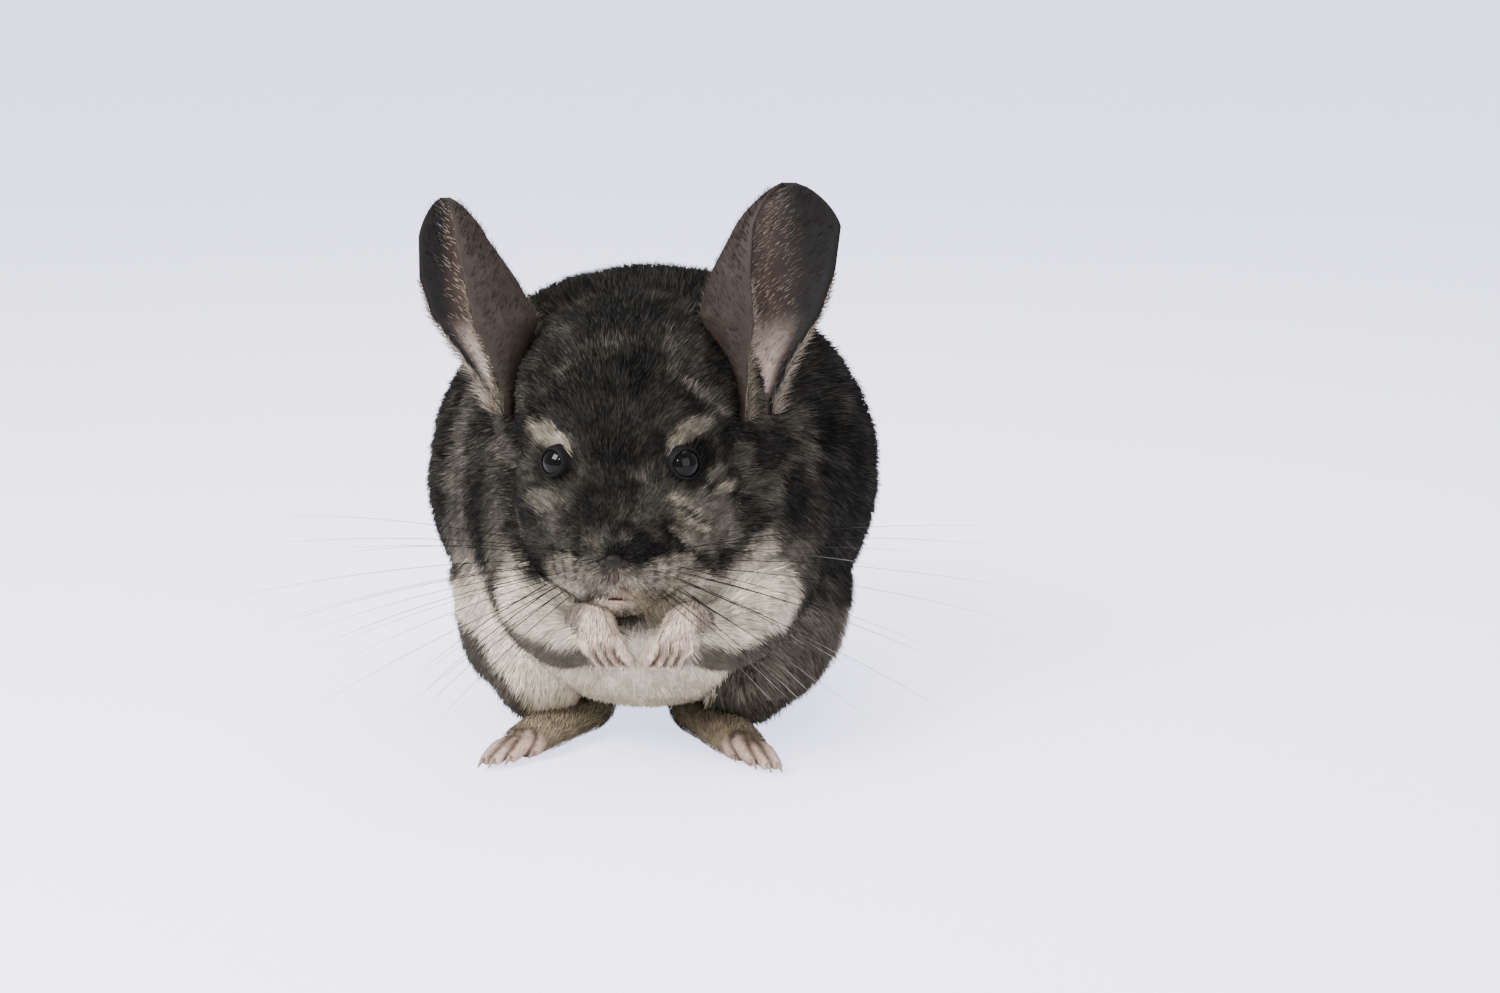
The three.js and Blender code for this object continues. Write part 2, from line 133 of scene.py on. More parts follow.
turn = math.radians(camera["azimuth"])
tilt = math.radians(camera["elevation"])
viewBack = np.array([math.sin(turn) * math.cos(tilt), -math.cos(turn) * math.cos(tilt), math.sin(tilt)])
viewRight = np.array([math.cos(turn), math.sin(turn), 0.0])
viewUp = np.cross(viewBack, viewRight)
perPixel = camera["distance"] * camera["sensor"] / camera["lens"] / camera["imageWidth"]
aim = eyesMiddle + viewRight * (camera["imageWidth"] / 2 - eyesPixel[0]) * perPixel
aim = aim + viewUp * (eyesPixel[1] - camera["imageHeight"] / 2) * perPixel
cameraPlace = eyesMiddle + viewBack * camera["distance"]


def addCamera():
    bpy.ops.object.camera_add(location=toFrame(cameraPlace))
    made = bpy.context.object
    made.name = "camera"
    made.data.lens = camera["lens"]
    made.data.sensor_width = camera["sensor"]
    made.rotation_euler = Vector(aim - cameraPlace).to_track_quat("-Z", "Y").to_euler()
    bpy.context.scene.camera = made


bpy.ops.object.select_all(action="DESELECT")
addCamera()
print("camera placed")


# Forms of the body, each a soft blend of lumps: (x, y, z, half sizes, turn about X in degrees)

forms = {
    "torso": {
        "middle": (2, 69, 65),
        "blend": 22,
        "lumps": [(0, 87, 62, 67, 60, 63, 0), (3, 59, 74, 66, 57, 57, 0), (4, 22, 50, 46, 34, 40, 0)],
    },
    "neck": {
        "middle": (1, 26, 94),
        "blend": 16,
        "lumps": [(1, 26, 96, 42, 27, 36, 0), (3, 12, 66, 33, 19, 21, 0)],
    },
    "head": {
        "middle": (0, -2, 84),
        "blend": 10,
        "lumps": [
            (0, 17, 103, 33, 30.4, 28, 0),
            (0, -2, 88, 17, 20, 17, 35),
            (0, -15, 73, 12, 15, 11, 30),
            (0, -26.5, 70, 6, 5.5, 5, 0),
            (-15, 4, 78, 17, 20, 18, 0), (15, 4, 78, 17, 20, 18, 0),
            (-9, -16, 66, 11, 11, 9, 0), (9, -16, 66, 11, 11, 9, 0),
            (-5.5, -19, 59, 6, 7, 5.5, 0), (5.5, -19, 59, 6, 7, 5.5, 0),
            (-12, 0, 63, 14, 16, 12, 0), (12, 0, 63, 14, 16, 12, 0),
            (0, -12, 53, 7, 7, 5, 0),
        ],
    },
}
for side, sign in sideSign.items():
    forms["thigh_" + side] = {
        "middle": (2 + sign * 36, 56, 34),
        "blend": 14,
        "lumps": [(2 + sign * 38, 60, 38, 24, 43, 36, 0), (2 + sign * 29, 26, 24, 19, 23, 20, 0)],
    }
armShift = 6
arms = {
    side: np.array([[armShift + sign * 30, 22, 60], [armShift + sign * 31, 8, 49],
                    [armShift + sign * 22, -8, 41], [armShift + sign * 11, -21, 44]], float)
    for side, sign in sideSign.items()
}
armRadius = [9, 14, 13, 9.5, 6]
noseTip = np.array([0.0, -31, 69])


def lumpDistance(places, lump):
    centre, size, angle = np.array(lump[:3]), np.array(lump[3:6], float), math.radians(lump[6])
    p = places - centre
    y = p[:, 1] * math.cos(angle) + p[:, 2] * math.sin(angle)
    z = p[:, 2] * math.cos(angle) - p[:, 1] * math.sin(angle)
    scaled = np.stack([p[:, 0], y, z], -1) / size
    far = lengths(scaled)
    steep = np.maximum(lengths(scaled / size), 1e-9)
    return far * (far - 1) / steep


def formDistance(places, form):
    found = np.full(len(places), 1e3)
    for lump in form["lumps"]:
        near = lumpDistance(places, lump)
        h = np.maximum(form["blend"] - np.abs(found - near), 0) / form["blend"]
        found = np.minimum(found, near) - h * h * form["blend"] / 4
    return found


def runPoints(points, t):  # a smooth curve through a few points, read at each t from 0 to 1
    points = np.asarray(points, float)
    ends = np.concatenate([[2 * points[0] - points[1]], points, [2 * points[-1] - points[-2]]])
    at = np.clip(np.asarray(t, float), 0, 1) * (len(points) - 1)
    low = np.minimum(at.astype(int), len(points) - 2)
    f = (at - low).reshape((-1,) + (1,) * (points.ndim - 1))
    a, b, c, d = (ends[low + k] for k in range(4))
    bend = (2 * a - 5 * b + 4 * c - d) * f ** 2
    return 0.5 * (2 * b + (c - a) * f + bend + (3 * b - a - 3 * c + d) * f ** 3)


def readAlong(values, t):  # a list of sizes, read at each t from 0 to 1 along it
    return np.interp(t * (len(values) - 1), range(len(values)), values)


def limbGaps(places, points, radii):  # a limb's line and radii, and the gap from each place to each step
    t = np.linspace(0, 1, 24)
    line, radius = runPoints(points, t), readAlong(radii, t)
    return line, radius, lengths(places[:, None, :] - line[None]) - radius


def limbDistance(places, points, radii):
    return limbGaps(places, points, radii)[2].min(1)


depths = {"nose": 0.8, "face": 2.6, "body": 6.5}  # of the coat


def coatDepth(places):  # how far the skin lies under the outside of the coat
    fromNose = lengths(places - noseTip)
    depth = mix(depths["nose"], depths["face"], smooth((fromNose - 6) / 42))
    depth = mix(depth, depths["body"], smooth((fromNose - 52) / 40))
    return np.minimum(depth, np.maximum(places[:, 2] * 0.5, 2.0))


def readArray(items, name, width, kind=float):
    values = np.empty(len(items) * width, kind)
    items.foreach_get(name, values)
    return values.reshape(-1, width)


def newObject(name, mesh):
    made = bpy.data.objects.new(name, mesh)
    bpy.context.collection.objects.link(made)
    return made


def chooseOnly(*pieces):
    bpy.ops.object.select_all(action="DESELECT")
    for piece in pieces:
        piece.select_set(True)
    bpy.context.view_layer.objects.active = pieces[0]


def joinParts(name, parts):
    chooseOnly(*parts)
    bpy.ops.object.join()
    made = bpy.context.object
    made.name = name
    return made


def closeShell(piece):  # closes seams and turns every face outwards
    chooseOnly(piece)
    bpy.ops.object.mode_set(mode="EDIT")
    bpy.ops.mesh.select_all(action="SELECT")
    bpy.ops.mesh.remove_doubles(threshold=1e-6)
    bpy.ops.mesh.normals_make_consistent(inside=False)
    bpy.ops.object.mode_set(mode="OBJECT")
    bpy.ops.object.shade_smooth()


def unwrap(piece):
    chooseOnly(piece)
    bpy.ops.object.mode_set(mode="EDIT")
    bpy.ops.mesh.select_all(action="SELECT")
    bpy.ops.uv.smart_project(angle_limit=math.radians(80), island_margin=0.002)
    bpy.ops.object.mode_set(mode="OBJECT")
    piece.data.uv_layers[0].name = "OFBake"


def drawForm(name, form, detail):  # a ball drawn in to the form's outside, less the coat
    bpy.ops.mesh.primitive_ico_sphere_add(subdivisions=detail, radius=1)
    made = bpy.context.object
    made.name = name
    directions = unit(readArray(made.data.vertices, "co", 3))
    middle = np.array(form["middle"], float)
    far = np.full(len(directions), 120.0)
    for step in range(45):
        places = middle + directions * far[:, None]
        far = far - (formDistance(places, form) + coatDepth(places)) * 0.85
    places = middle + directions * far[:, None]
    made.data.vertices.foreach_set("co", toFrame(places).ravel())
    return made


def tubeMesh(name, line, radii, sides=14, steps=14, flat=1.0):
    t = np.linspace(0, 1, steps)
    middle = runPoints(line, t)
    radius = readAlong(radii, t)
    along = unit(np.gradient(middle, axis=0))
    across = unit(np.cross(along, (0, 0, 1.0)))
    over = np.cross(across, along)
    angle = np.linspace(0, 2 * math.pi, sides, endpoint=False)[None, :, None]
    ring = across[:, None] * np.cos(angle) + over[:, None] * np.sin(angle) * flat
    places = (middle[:, None] + ring * radius[:, None, None]).reshape(-1, 3)
    caps = [middle[:1] - along[:1] * radius[0] * 0.6, middle[-1:] + along[-1:] * radius[-1] * 0.6]
    faces = []
    for k in range(steps - 1):
        for s in range(sides):
            n = (s + 1) % sides
            faces.append((k * sides + s, k * sides + n, (k + 1) * sides + n, (k + 1) * sides + s))
    for s in range(sides):
        n = (s + 1) % sides
        faces.append((steps * sides, n, s))
        faces.append((steps * sides + 1, (steps - 1) * sides + s, (steps - 1) * sides + n))
    mesh = bpy.data.meshes.new(name)
    mesh.from_pydata(toFrame(np.concatenate([places, *caps])).tolist(), [], faces)
    return newObject(name, mesh)


def joinAndRemesh(name, parts, voxel, smoothing):
    made = joinParts(name, parts)
    made.data.name = name
    remesh = made.modifiers.new("remesh", "REMESH")
    remesh.mode = "VOXEL"
    remesh.voxel_size = voxel * mm
    bpy.ops.object.modifier_apply(modifier="remesh")
    relax = made.modifiers.new("relax", "SMOOTH")
    relax.factor = 0.5
    relax.iterations = smoothing
    bpy.ops.object.modifier_apply(modifier="relax")
    bpy.ops.object.shade_smooth()
    return made


tail = {
    "line": [(2, 118, 34), (2, 132, 27), (-1, 150, 16), (-8, 170, 10), (-19, 190, 8), (-32, 207, 8),
             (-45, 219, 12)],
    "radius": [9, 7, 5.5, 4.8, 4.4, 4, 3.4, 1.6],
}


skinShape = {"voxel": 1.35, "smoothing": 4, "armInset": 2.6, "armLeast": 3.2, "fine": ("head", "torso")}


def buildSkin():
    parts = [drawForm(name, form, 6 if name in skinShape["fine"] else 5) for name, form in forms.items()]
    inner = [max(r - skinShape["armInset"], skinShape["armLeast"]) for r in armRadius]
    limbs = [("arm", arms[side], inner) for side in sideSign] + [("tail", tail["line"], tail["radius"])]
    for limb in limbs:
        parts.append(tubeMesh(*limb, sides=16, steps=28))
    made = joinAndRemesh("skin", parts, skinShape["voxel"], skinShape["smoothing"])
    unwrap(made)
    return made


skin = buildSkin()
print("skin built,", len(skin.data.polygons), "faces")


def readSurface(obj):  # places in millimetres, triangles, normals and corner UVs
    mesh = obj.data
    mesh.calc_loop_triangles()
    triangles = mesh.loop_triangles
    uv = readArray(mesh.uv_layers[0].data, "uv", 2) if mesh.uv_layers else np.zeros((len(mesh.loops), 2))
    return {
        "places": (readArray(mesh.vertices, "co", 3) - origin) / mm,
        "normals": unit(readArray(mesh.vertices, "normal", 3)),
        "corners": readArray(triangles, "vertices", 3, int),
        "uv": uv[readArray(triangles, "loops", 3, int)],
    }


def scatter(surface, density):  # roots spread over a surface, so many for each square millimetre
    corners = surface["places"][surface["corners"]]
    edgeA, edgeB = corners[:, 1] - corners[:, 0], corners[:, 2] - corners[:, 0]
    area = lengths(np.cross(edgeA, edgeB)) / 2
    wanted = area * density(corners.mean(1)) * 1
    edges = np.cumsum(wanted)
    count = int(edges[-1])
    pick = np.searchsorted(edges, (np.arange(count) + draw.random(count)) / count * edges[-1])
    pick = np.minimum(pick, len(area) - 1)
    a, b = draw.random(count), draw.random(count)
    flip = a + b > 1
    a[flip], b[flip] = 1 - a[flip], 1 - b[flip]
    weights = np.stack([1 - a - b, a, b], -1)[:, :, None]
    roots = (corners[pick] * weights).sum(1)
    normals = unit((surface["normals"][surface["corners"][pick]] * weights).sum(1))
    return roots, normals, (surface["uv"][pick] * weights).sum(1)


# Colours of the coat, in linear light

tones = {
    "slate": (0.008, 0.008, 0.009),
    "black": (0.0036, 0.0034, 0.0034),
    "dark": (0.0088, 0.0084, 0.0080),
    "blueDark": (0.0066, 0.0074, 0.0100),
    "agouti": (0.062, 0.057, 0.046),
    "band": (0.150, 0.135, 0.112),
    "pale": (0.27, 0.235, 0.18),
    "cream": (0.68, 0.59, 0.475),
    "creamShade": (0.53, 0.455, 0.32),
    "muzzle": (0.25, 0.215, 0.17),
    "warm": (0.33, 0.24, 0.165),
}

# Patches of the face, by their place across and above the middle of the eyes as the front view shows them,
# with half sizes, a turn in degrees, a strength and a tone.
patches = {
    "foreheadShade": (1.0, 12.0, 15.0, 14.0, 0, 0.6, "dark"),
    "crownLeft": (19.0, 31.0, 8.5, 9.0, 10, 0.3, "agouti"),
    "crownRight": (-20.0, 30.0, 10.0, 10.0, -10, 0.45, "dark"),
    "peak": (4.7, 25.6, 5.0, 8.0, 0, 0.9, "black"),
    "nape": (-1.0, 43.0, 17.0, 6.0, 0, 0.95, "black"),
    # the two brow lines are painted shadow in folds of the coat over the brows
    "browFoldShadowRight": (-16.0, 22.0, 15.0, 2.4, 42, 0.9, "black"),
    "browFoldShadowLeft": (17.0, 20.0, 15.0, 2.4, -38, 0.6, "black"),
    "browStreak": (24.0, 19.0, 9.0, 1.2, -42, 0.5, "band"),
    "bridge": (-7.5, -10.5, 7.0, 8.0, 0, 0.8, "black"),
    "bridgeTop": (-3.0, 3.0, 8.0, 7.0, 0, 0.6, "black"),
    "bridgeLeft": (8.0, -12.0, 5.5, 7.0, 0, 0.45, "agouti"),
    "bridgeLow": (-0.8, -24.5, 4.6, 3.0, 0, 0.95, "black"),
    "eyeShadeLeft": (20.0, 0.8, 7.0, 6.0, 20, 0.95, "black"),
    "eyeShadeRight": (-18.0, 0.8, 6.0, 6.0, 0, 0.95, "black"),
    "eyebrowLeft": (15.8, 5.8, 3.2, 4.0, -20, 0.62, "pale"),
    "eyebrowLeftOut": (20.5, 10.0, 5.0, 2.8, 22, 0.62, "pale"),
    "eyebrowRight": (-17.6, 5.4, 2.9, 4.2, 30, 0.55, "pale"),
    "eyebrowRightOut": (-21.5, 9.2, 5.2, 3.0, -26, 0.52, "pale"),
    "underEyeRight": (-23.0, -9.5, 5.0, 2.6, -15, 0.35, "band"),
    "underEyeLeft": (29.0, -7.0, 4.0, 2.0, 25, 0.8, "pale"),
    "behindEyeLeft": (27.0, -2.5, 3.0, 1.8, 40, 0.5, "band"),
    "cheekLeft": (25.0, -16.0, 11.0, 9.0, 0, 0.66, "band"),
    "streakUpper": (19.5, -12.0, 6.0, 1.1, -30, 0.85, "pale"),
    "streakBetween": (20.5, -14.3, 6.0, 0.9, -30, 0.8, "dark"),
    "streakLower": (21.5, -17.0, 6.5, 1.1, -30, 0.75, "pale"),
    "streakLast": (19.0, -21.5, 7.0, 1.0, -38, 0.6, "pale"),
    "cheekRight": (-21.0, -20.0, 8.0, 7.0, 0, 0.12, "band"),
    "padLeft": (14.5, -30.5, 9.5, 6.0, 25, 0.95, "muzzle"),
    "padRight": (-14.0, -31.5, 8.0, 5.5, -25, 0.85, "muzzle"),
    "snout": (0.0, -31.0, 4.0, 3.5, 0, 0.35, "muzzle"),
    "philtrum": (0.0, -35.5, 9.0, 3.2, 0, 0.8, "muzzle"),
    "lipWarm": (0.5, -37.8, 6.5, 2.6, 0, 0.6, "warm"),
    "lipLeft": (4.5, -40.5, 4.5, 2.4, 0, 0.9, "pale"),
    "lipRight": (-4.5, -40.5, 5.5, 2.4, 0, 0.95, "cream"),
    "jowlLeft": (20.0, -36.0, 9.0, 5.5, 20, 0.75, "cream"),
    "chinLeft": (12.5, -42.0, 7.0, 5.0, 0, 0.9, "creamShade"),
    "jowlRight": (-20.0, -37.0, 8.0, 5.0, -20, 0.5, "cream"),
}

# The dark line in the folds of the right flank, from below up, in the same measure, and the pale folds
# beside it: how far from the line each lies, its half width and its strength.
flankLine = [(-31.4, -33.6), (-27.2, -39.2), (-16.1, -41.9), (-2.2, -41.9), (15.0, -37.8), (30.0, -33.0)]
flankFolds = [(-4.8, 3.0, 0.46), (6.0, 3.4, 0.18), (14.5, 2.6, 0.2)]


def frontPlace(places):  # across and above the eyes, as the front view shows it
    off = places - eyesMiddle
    away = camera["distance"] - off @ viewBack
    return off @ viewRight * camera["distance"] / away, off @ viewUp * camera["distance"] / away


def layOver(tone, over, amount):  # one tone laid over others by an amount for each place
    return blendRows(tone, tones[over] if isinstance(over, str) else over, np.clip(amount, 0, 1))


def profile(points, at):  # a width read from a short list of (place, width)
    return np.interp(at, [p[0] for p in points], [p[1] for p in points])


def flankBands(places):  # pale folds of the loose coat round the right flank, and fainter ones on the left
    across, above = frontPlace(places)
    wobble = 3.0 * (softNoise(places, 16, 9) - 0.5) + 1.4 * (softNoise(places, 4, 3) - 0.5)
    line = profile(flankLine, above)
    found = np.zeros(len(places))
    for side, share in ((1, 1.0), (-1, 0.3)):
        reach = (across if side == 1 else -across + 8) - line + wobble
        for middle, half, strength in flankFolds:
            fold = smooth(1.35 - np.abs(reach - middle) / half)
            here = smooth((-side * places[:, 0] - 22) / 8)
            found = np.maximum(found, fold * here * strength * share)
    return found * smooth((92 - places[:, 1]) / 30) * smooth((112 - places[:, 2]) / 24)


def armPlace(places):  # the gap to the nearer forearm, and the height over its line, in its radii
    gap = np.full(len(places), 1e3)
    level = np.zeros(len(places))
    for side in sideSign:
        line, radius, gaps = limbGaps(places, arms[side], armRadius)
        nearest = gaps.argmin(1)
        here = gaps[np.arange(len(places)), nearest]
        above = (places[:, 2] - line[nearest, 2]) / radius[nearest]
        level = np.where(here < gap, above, level)
        gap = np.minimum(here, gap)
    return gap, level


# Half the width of the pale belly as the front view shows it, from below up, with the dark rim along it
bellyEdge = [(-75.0, 13.0), (-66.0, 21.5), (-56.0, 29.0), (-48.0, 34.5), (-40.0, 41.0), (-30.0, 48.0)]
rimWidth = 2.6


def coatTones(places):
    count = len(places)
    x, y, z = places.T
    across, above = frontPlace(places)
    headNear = smooth((8 - formDistance(places, forms["head"])) / 7) * smooth((38 - y) / 14)
    armGap, armLevel = armPlace(places)
    grey = softNoise(places, 8) * 0.5 + softNoise(places, 3.2, 7) * 0.3 + softNoise(places, 1.4, 3) * 0.2

    tone = np.tile(np.array(tones["dark"]), (count, 1))
    tone = layOver(tone, "agouti", smooth((grey - 0.46) / 0.26) * 0.55)
    tone = layOver(tone, "blueDark", smooth((x - 30) / 24) * smooth((z - 34) / 26) * 0.3)
    frontLeft = smooth((x - 22) / 12) * smooth((40 - y) / 30)
    tone = layOver(tone, "agouti", smooth((grey - 0.5) / 0.2) * frontLeft * 0.8)

    folds = flankBands(places) * mix(0.75, 1.0, grey)
    tone = layOver(tone, blendRows(tones["band"], tones["cream"], smooth((-18 - above) / 12)), folds)
    tone = tone * mix(1.0, 0.4, smooth((z - 104) / 12) * (1 - headNear))[:, None]

    low = 52 + 14 * smooth((24 - np.abs(x)) / 8) * smooth((8 - y) / 10) - 14 * smooth((y - 14) / 60)
    low = low - 8 * smooth((x - 18) / 26) + 8 * (softNoise(places, 14, 3) - 0.5)
    under = smooth((low - z) / 8) * smooth((104 - y) / 34) * (1 - headNear)
    edge = profile(bellyEdge, above) + 12 * smooth((across + 8) / 10)
    rim = smooth((np.abs(across + 8) - (edge - rimWidth)) / 2.4)
    rim = rim * smooth((-34 - above) / 6) * smooth((62 - y) / 20)
    # the belly's cream is painted darker towards the floor, as shade on its underside
    cream = blendRows(tones["cream"], tones["creamShade"], smooth((30 - z) / 24))
    cream = blendRows(cream, tones["warm"], smooth((grey - 0.55) / 0.3) * 0.4)
    tone = layOver(tone, cream, under)
    under = under * (1 - rim)
    tone = layOver(tone, "dark", rim * 0.9)

    ragged = softNoise(places, 3.6, 8) - 0.5
    arm = smooth((6.0 + 5 * ragged - armGap) / 5) * (1 - headNear) * smooth((26 - y) / 8)
    lower = smooth((-0.02 - armLevel + 0.7 * (grey - 0.5)) / 0.35)
    upper = smooth((y + 3 + 9 * (grey - 0.5)) / 9)  # the upper arm keeps the dark coat of the shoulder
    forearm = blendRows(tones["cream"], tones["dark"], lower * 0.92)
    shoulder = blendRows(tones["dark"], tones["agouti"], smooth((grey - 0.4) / 0.3) * 0.8)
    tone = layOver(tone, blendRows(forearm, shoulder, upper * 0.95), arm)

    face = blendRows(tones["dark"], tones["agouti"], smooth((grey - 0.44) / 0.26) * 0.7)
    tone = tone * (1 - headNear[:, None]) + face * headNear[:, None]
    front = headNear * smooth((34 - y) / 10)
    frayed = 1.1 * (grey - 0.5)
    for s, t, width, height, angle, strength, toneName in patches.values():
        a = math.radians(angle)
        ds, dt = across - s, above - t
        u = (ds * math.cos(a) + dt * math.sin(a)) / width
        v = (dt * math.cos(a) - ds * math.sin(a)) / height
        amount = smooth((1.2 - np.sqrt(u * u + v * v) + frayed) / 0.6) * strength * front
        tone = layOver(tone, toneName, amount)
    pale = np.clip(tone.mean(1) / 0.4, 0, 1)
    return tone, np.maximum(under, pale * 0.6)


# Tufts

# A tuft's depth for its width, half the size of its patch on the unwrap, and how much of its own shape
# and lie the light sees
tuft = {"depth": 0.55, "patchLong": 0.0015, "patchWide": 0.0014, "own": 0.6, "along": 0.3}


def paint(mesh, colours):
    attribute = mesh.attributes.new("coatTone", "FLOAT_COLOR", "POINT")
    attribute.data.foreach_set("color", np.concatenate([colours, np.ones((len(colours), 1))], 1).ravel())


# Each tuft starts and ends in a point, with rings of three corners between
def strandMesh(name, lines, widths, sideways, colours, uvRoots, ground=None):
    count, points, _ = lines.shape
    rings = points - 2
    along = unit(lines[:, 1:] - lines[:, :-1])
    inward = unit(np.cross(along[:, 1:], sideways[:, None]))
    spread = sideways[:, None] * widths[:, :, None]
    drop = inward * widths[:, :, None] * tuft["depth"]
    base = lines[:, 1:-1]
    ring = np.stack([base + spread, base - spread, base + drop], 2).reshape(count, rings * 3, 3)
    verts = np.concatenate([lines[:, :1], ring, lines[:, -1:]], 1)
    per = rings * 3 + 2
    quads, triangles = [], []
    for s in range(3):
        n = (s + 1) % 3
        triangles.append((0, 1 + s, 1 + n))
        triangles.append((per - 4 + s, per - 1, per - 4 + n))
        for k in range(rings - 1):
            quads.append((k * 3 + 1 + s, k * 3 + 4 + s, k * 3 + 4 + n, k * 3 + 1 + n))
    step = (np.arange(count) * per)[:, None, None]
    quads = (np.array(quads, int).reshape(-1, 4)[None] + step).reshape(-1, 4)
    triangles = (np.array(triangles)[None] + step).reshape(-1, 3)
    corners = np.concatenate([quads.ravel(), triangles.ravel()])
    mesh = bpy.data.meshes.new(name)
    mesh.vertices.add(count * per)
    mesh.vertices.foreach_set("co", toFrame(verts.reshape(-1, 3)).ravel())
    mesh.loops.add(len(corners))
    mesh.loops.foreach_set("vertex_index", corners)
    mesh.polygons.add(len(quads) + len(triangles))
    starts = np.concatenate([np.arange(len(quads)) * 4, len(quads) * 4 + np.arange(len(triangles)) * 3])
    mesh.polygons.foreach_set("loop_start", starts)
    mesh.update(calc_edges=True)
    tint = np.repeat(colours[:, 1:-1], 3, axis=1)
    paint(mesh, np.concatenate([colours[:, :1], tint, colours[:, -1:]], 1).reshape(-1, 3))
    away = np.linspace(-tuft["patchLong"], tuft["patchLong"], points)
    away = np.concatenate([away[:1], np.repeat(away[1:-1], 3), away[-1:]])
    beside = np.concatenate([[0.0], np.tile([-tuft["patchWide"], tuft["patchWide"], 0.0], rings), [0.0]])
    patch = np.stack([beside, away], -1)
    uv = (uvRoots[:, None] + patch[None]).reshape(-1, 2)
    layer = mesh.uv_layers.new(name="OFBake")
    layer.data.foreach_set("uv", uv[corners].ravel())
    mesh.polygons.foreach_set("use_smooth", np.ones(len(mesh.polygons), bool))
    if ground is not None:  # the skin's own normals soften the light on the coat
        own = np.stack([sideways, -sideways, inward[:, 0]], 1)
        own = np.concatenate([-along[:, :1], np.tile(own, (1, rings, 1)), along[:, -1:]], 1)
        soft = unit(ground[:, None] + own * tuft["own"] + along[:, :1] * tuft["along"])
        mesh.normals_split_custom_set_from_vertices(soft.reshape(-1, 3))
    return newObject(name, mesh)


def tangentOf(vectors, normals):
    return unit(vectors - (vectors * normals).sum(1, keepdims=True) * normals)


def lieOfCoat(places, normals):  # the way the hair points, along the skin
    fromNose = places - noseTip
    far = lengths(fromNose)
    headFlow = unit(fromNose) + np.array([0, 0.15, 0.1])
    bodyFlow = unit(places - np.array([2, -8, 104])) + np.array([0, 0.25, -0.5])
    flow = tangentOf(blendRows(headFlow, bodyFlow, smooth((far - 42) / 26)), normals)
    wander = [softNoise(places, 11, k * 5.3) * 0.6 + softNoise(places, 3.5, k * 3.1) * 0.4
              for k in (1, 2, 3)]
    wander = np.stack(wander, -1) - 0.5
    return unit(flow + tangentOf(wander, normals) * np.linalg.norm(wander, axis=1, keepdims=True) * 1.1)


def outerDepth(places):  # distance from a root to the outside of the coat
    gaps = [-formDistance(places, form) for form in forms.values()]
    gaps += [-limbDistance(places, arms[side], armRadius) for side in sideSign]
    return np.max(gaps, axis=0)


lidOpening = {"left": (3.9, 4.6), "right": (3.5, 4.0)}  # half its height and half its width
eyeFrames = {}
for side, sign in sideSign.items():
    facing = unit(np.array([sign * 0.62, -0.75, 0.22]))
    across = unit(np.cross((0, 0, 1.0), facing))
    eyeFrames[side] = (facing, across, np.cross(facing, across))


def eyeWindow(places, side):  # places seen through the opening of the lids, and how near the eye they are
    facing, across, up = eyeFrames[side]
    off = places - eyeCentre[side]
    a, b, out = off @ across, off @ up, off @ facing
    half, reach = lidOpening[side]
    opening = half * np.sqrt(np.maximum(0, 1 - (a / reach) ** 2))
    return (np.abs(b) < opening * 1.06) & (out > 0) & (np.abs(a) < reach), lengths(off)


headMiddle = np.array([0.0, -4, 78])


def surfaceOnFace(x, y, z):  # a place on the outside of the face, by walking out from inside the head
    start = headMiddle[None]
    way = unit(np.array([[x, y, z]], float) - start)
    far = np.zeros(1)
    for step in range(60):
        far = far - formDistance(start + way * far[:, None], forms["head"]) * 0.7
    return (start + way * far[:, None])[0]


def onFace(x, y, z, size, sink=0.6):  # a lump of the nose or lips, sunk a little under the face's outside
    place = surfaceOnFace(x, y, z)
    place = place - unit(place - headMiddle) * sink
    return (*place, *size)


noseLumps = [
    onFace(0, -31.5, 68.4, (2.5, 1.7, 1.7)),
    onFace(-2.5, -31, 67.2, (1.8, 1.5, 1.6)), onFace(2.5, -31, 67.2, (1.8, 1.5, 1.6)),
    onFace(0, -30, 63.6, (1.2, 1.0, 2.8)),
]
nostrils = [onFace(s * 2.5, -31, 66.9, (1.2, 1.6, 0.75), -0.9) for s in (-1, 1)]
lipLumps = [onFace(0, -25, 55.6, (2.7, 1.3, 1.1), 0.9)]
whisker = {
    "rows": 6, "inRow": 3, "length": 101, "sag": 0.14, "rootWidth": 0.34, "tipWidth": 0.13, "sink": 1.2,
}
whiskerPlaces = [(s, row, n) for s in sideSign.values() for row in range(whisker["rows"])
                 for n in range(whisker["inRow"])]
whiskerRoots = np.array([surfaceOnFace(s * (10 + 2.6 * n), -25 + 2.6 * n, 70 - 2.3 * row)
                         for s, row, n in whiskerPlaces])


coat = {
    "faceDensity": 10.0, "crownDensity": 4.2, "bodyDensity": 2.05,  # tufts for each square millimetre
    "faceWidth": 0.12, "bodyWidth": 0.29, "tuftsInPiece": 30000,
    "faceStray": 1.8, "bodyStray": 2.4,  # how far the markings fray
    "slant": (2.1, 1.55), "bendHeight": 0.68, "bendReach": 0.38, "scatter": 0.22,  # the lie of a tuft
    "rootSink": 0.6, "lowest": 0.6, "deepest": 17, "foldDepth": 0.34, "faceReach": 60,
    "ticked": 0.28, "tickedTone": 0.75, "ownShade": 1.1, "lockShade": 1.2, "strandShade": 1.0,
    "spotDark": 0.8, "spotReach": 1.5,  # the dark rows that the whiskers grow from
    "lumpGap": 0.2, "eyeGap": 0.15, "eyeReach": 6,  # what the tufts leave free
}


def foldDip(places):  # the coat parts in soft creases between the pale folds
    away = 1 - np.clip(flankBands(places) * 1.3, 0, 1)
    return away * smooth((-places[:, 0] - 30) / 10) * smooth((92 - places[:, 1]) / 30)


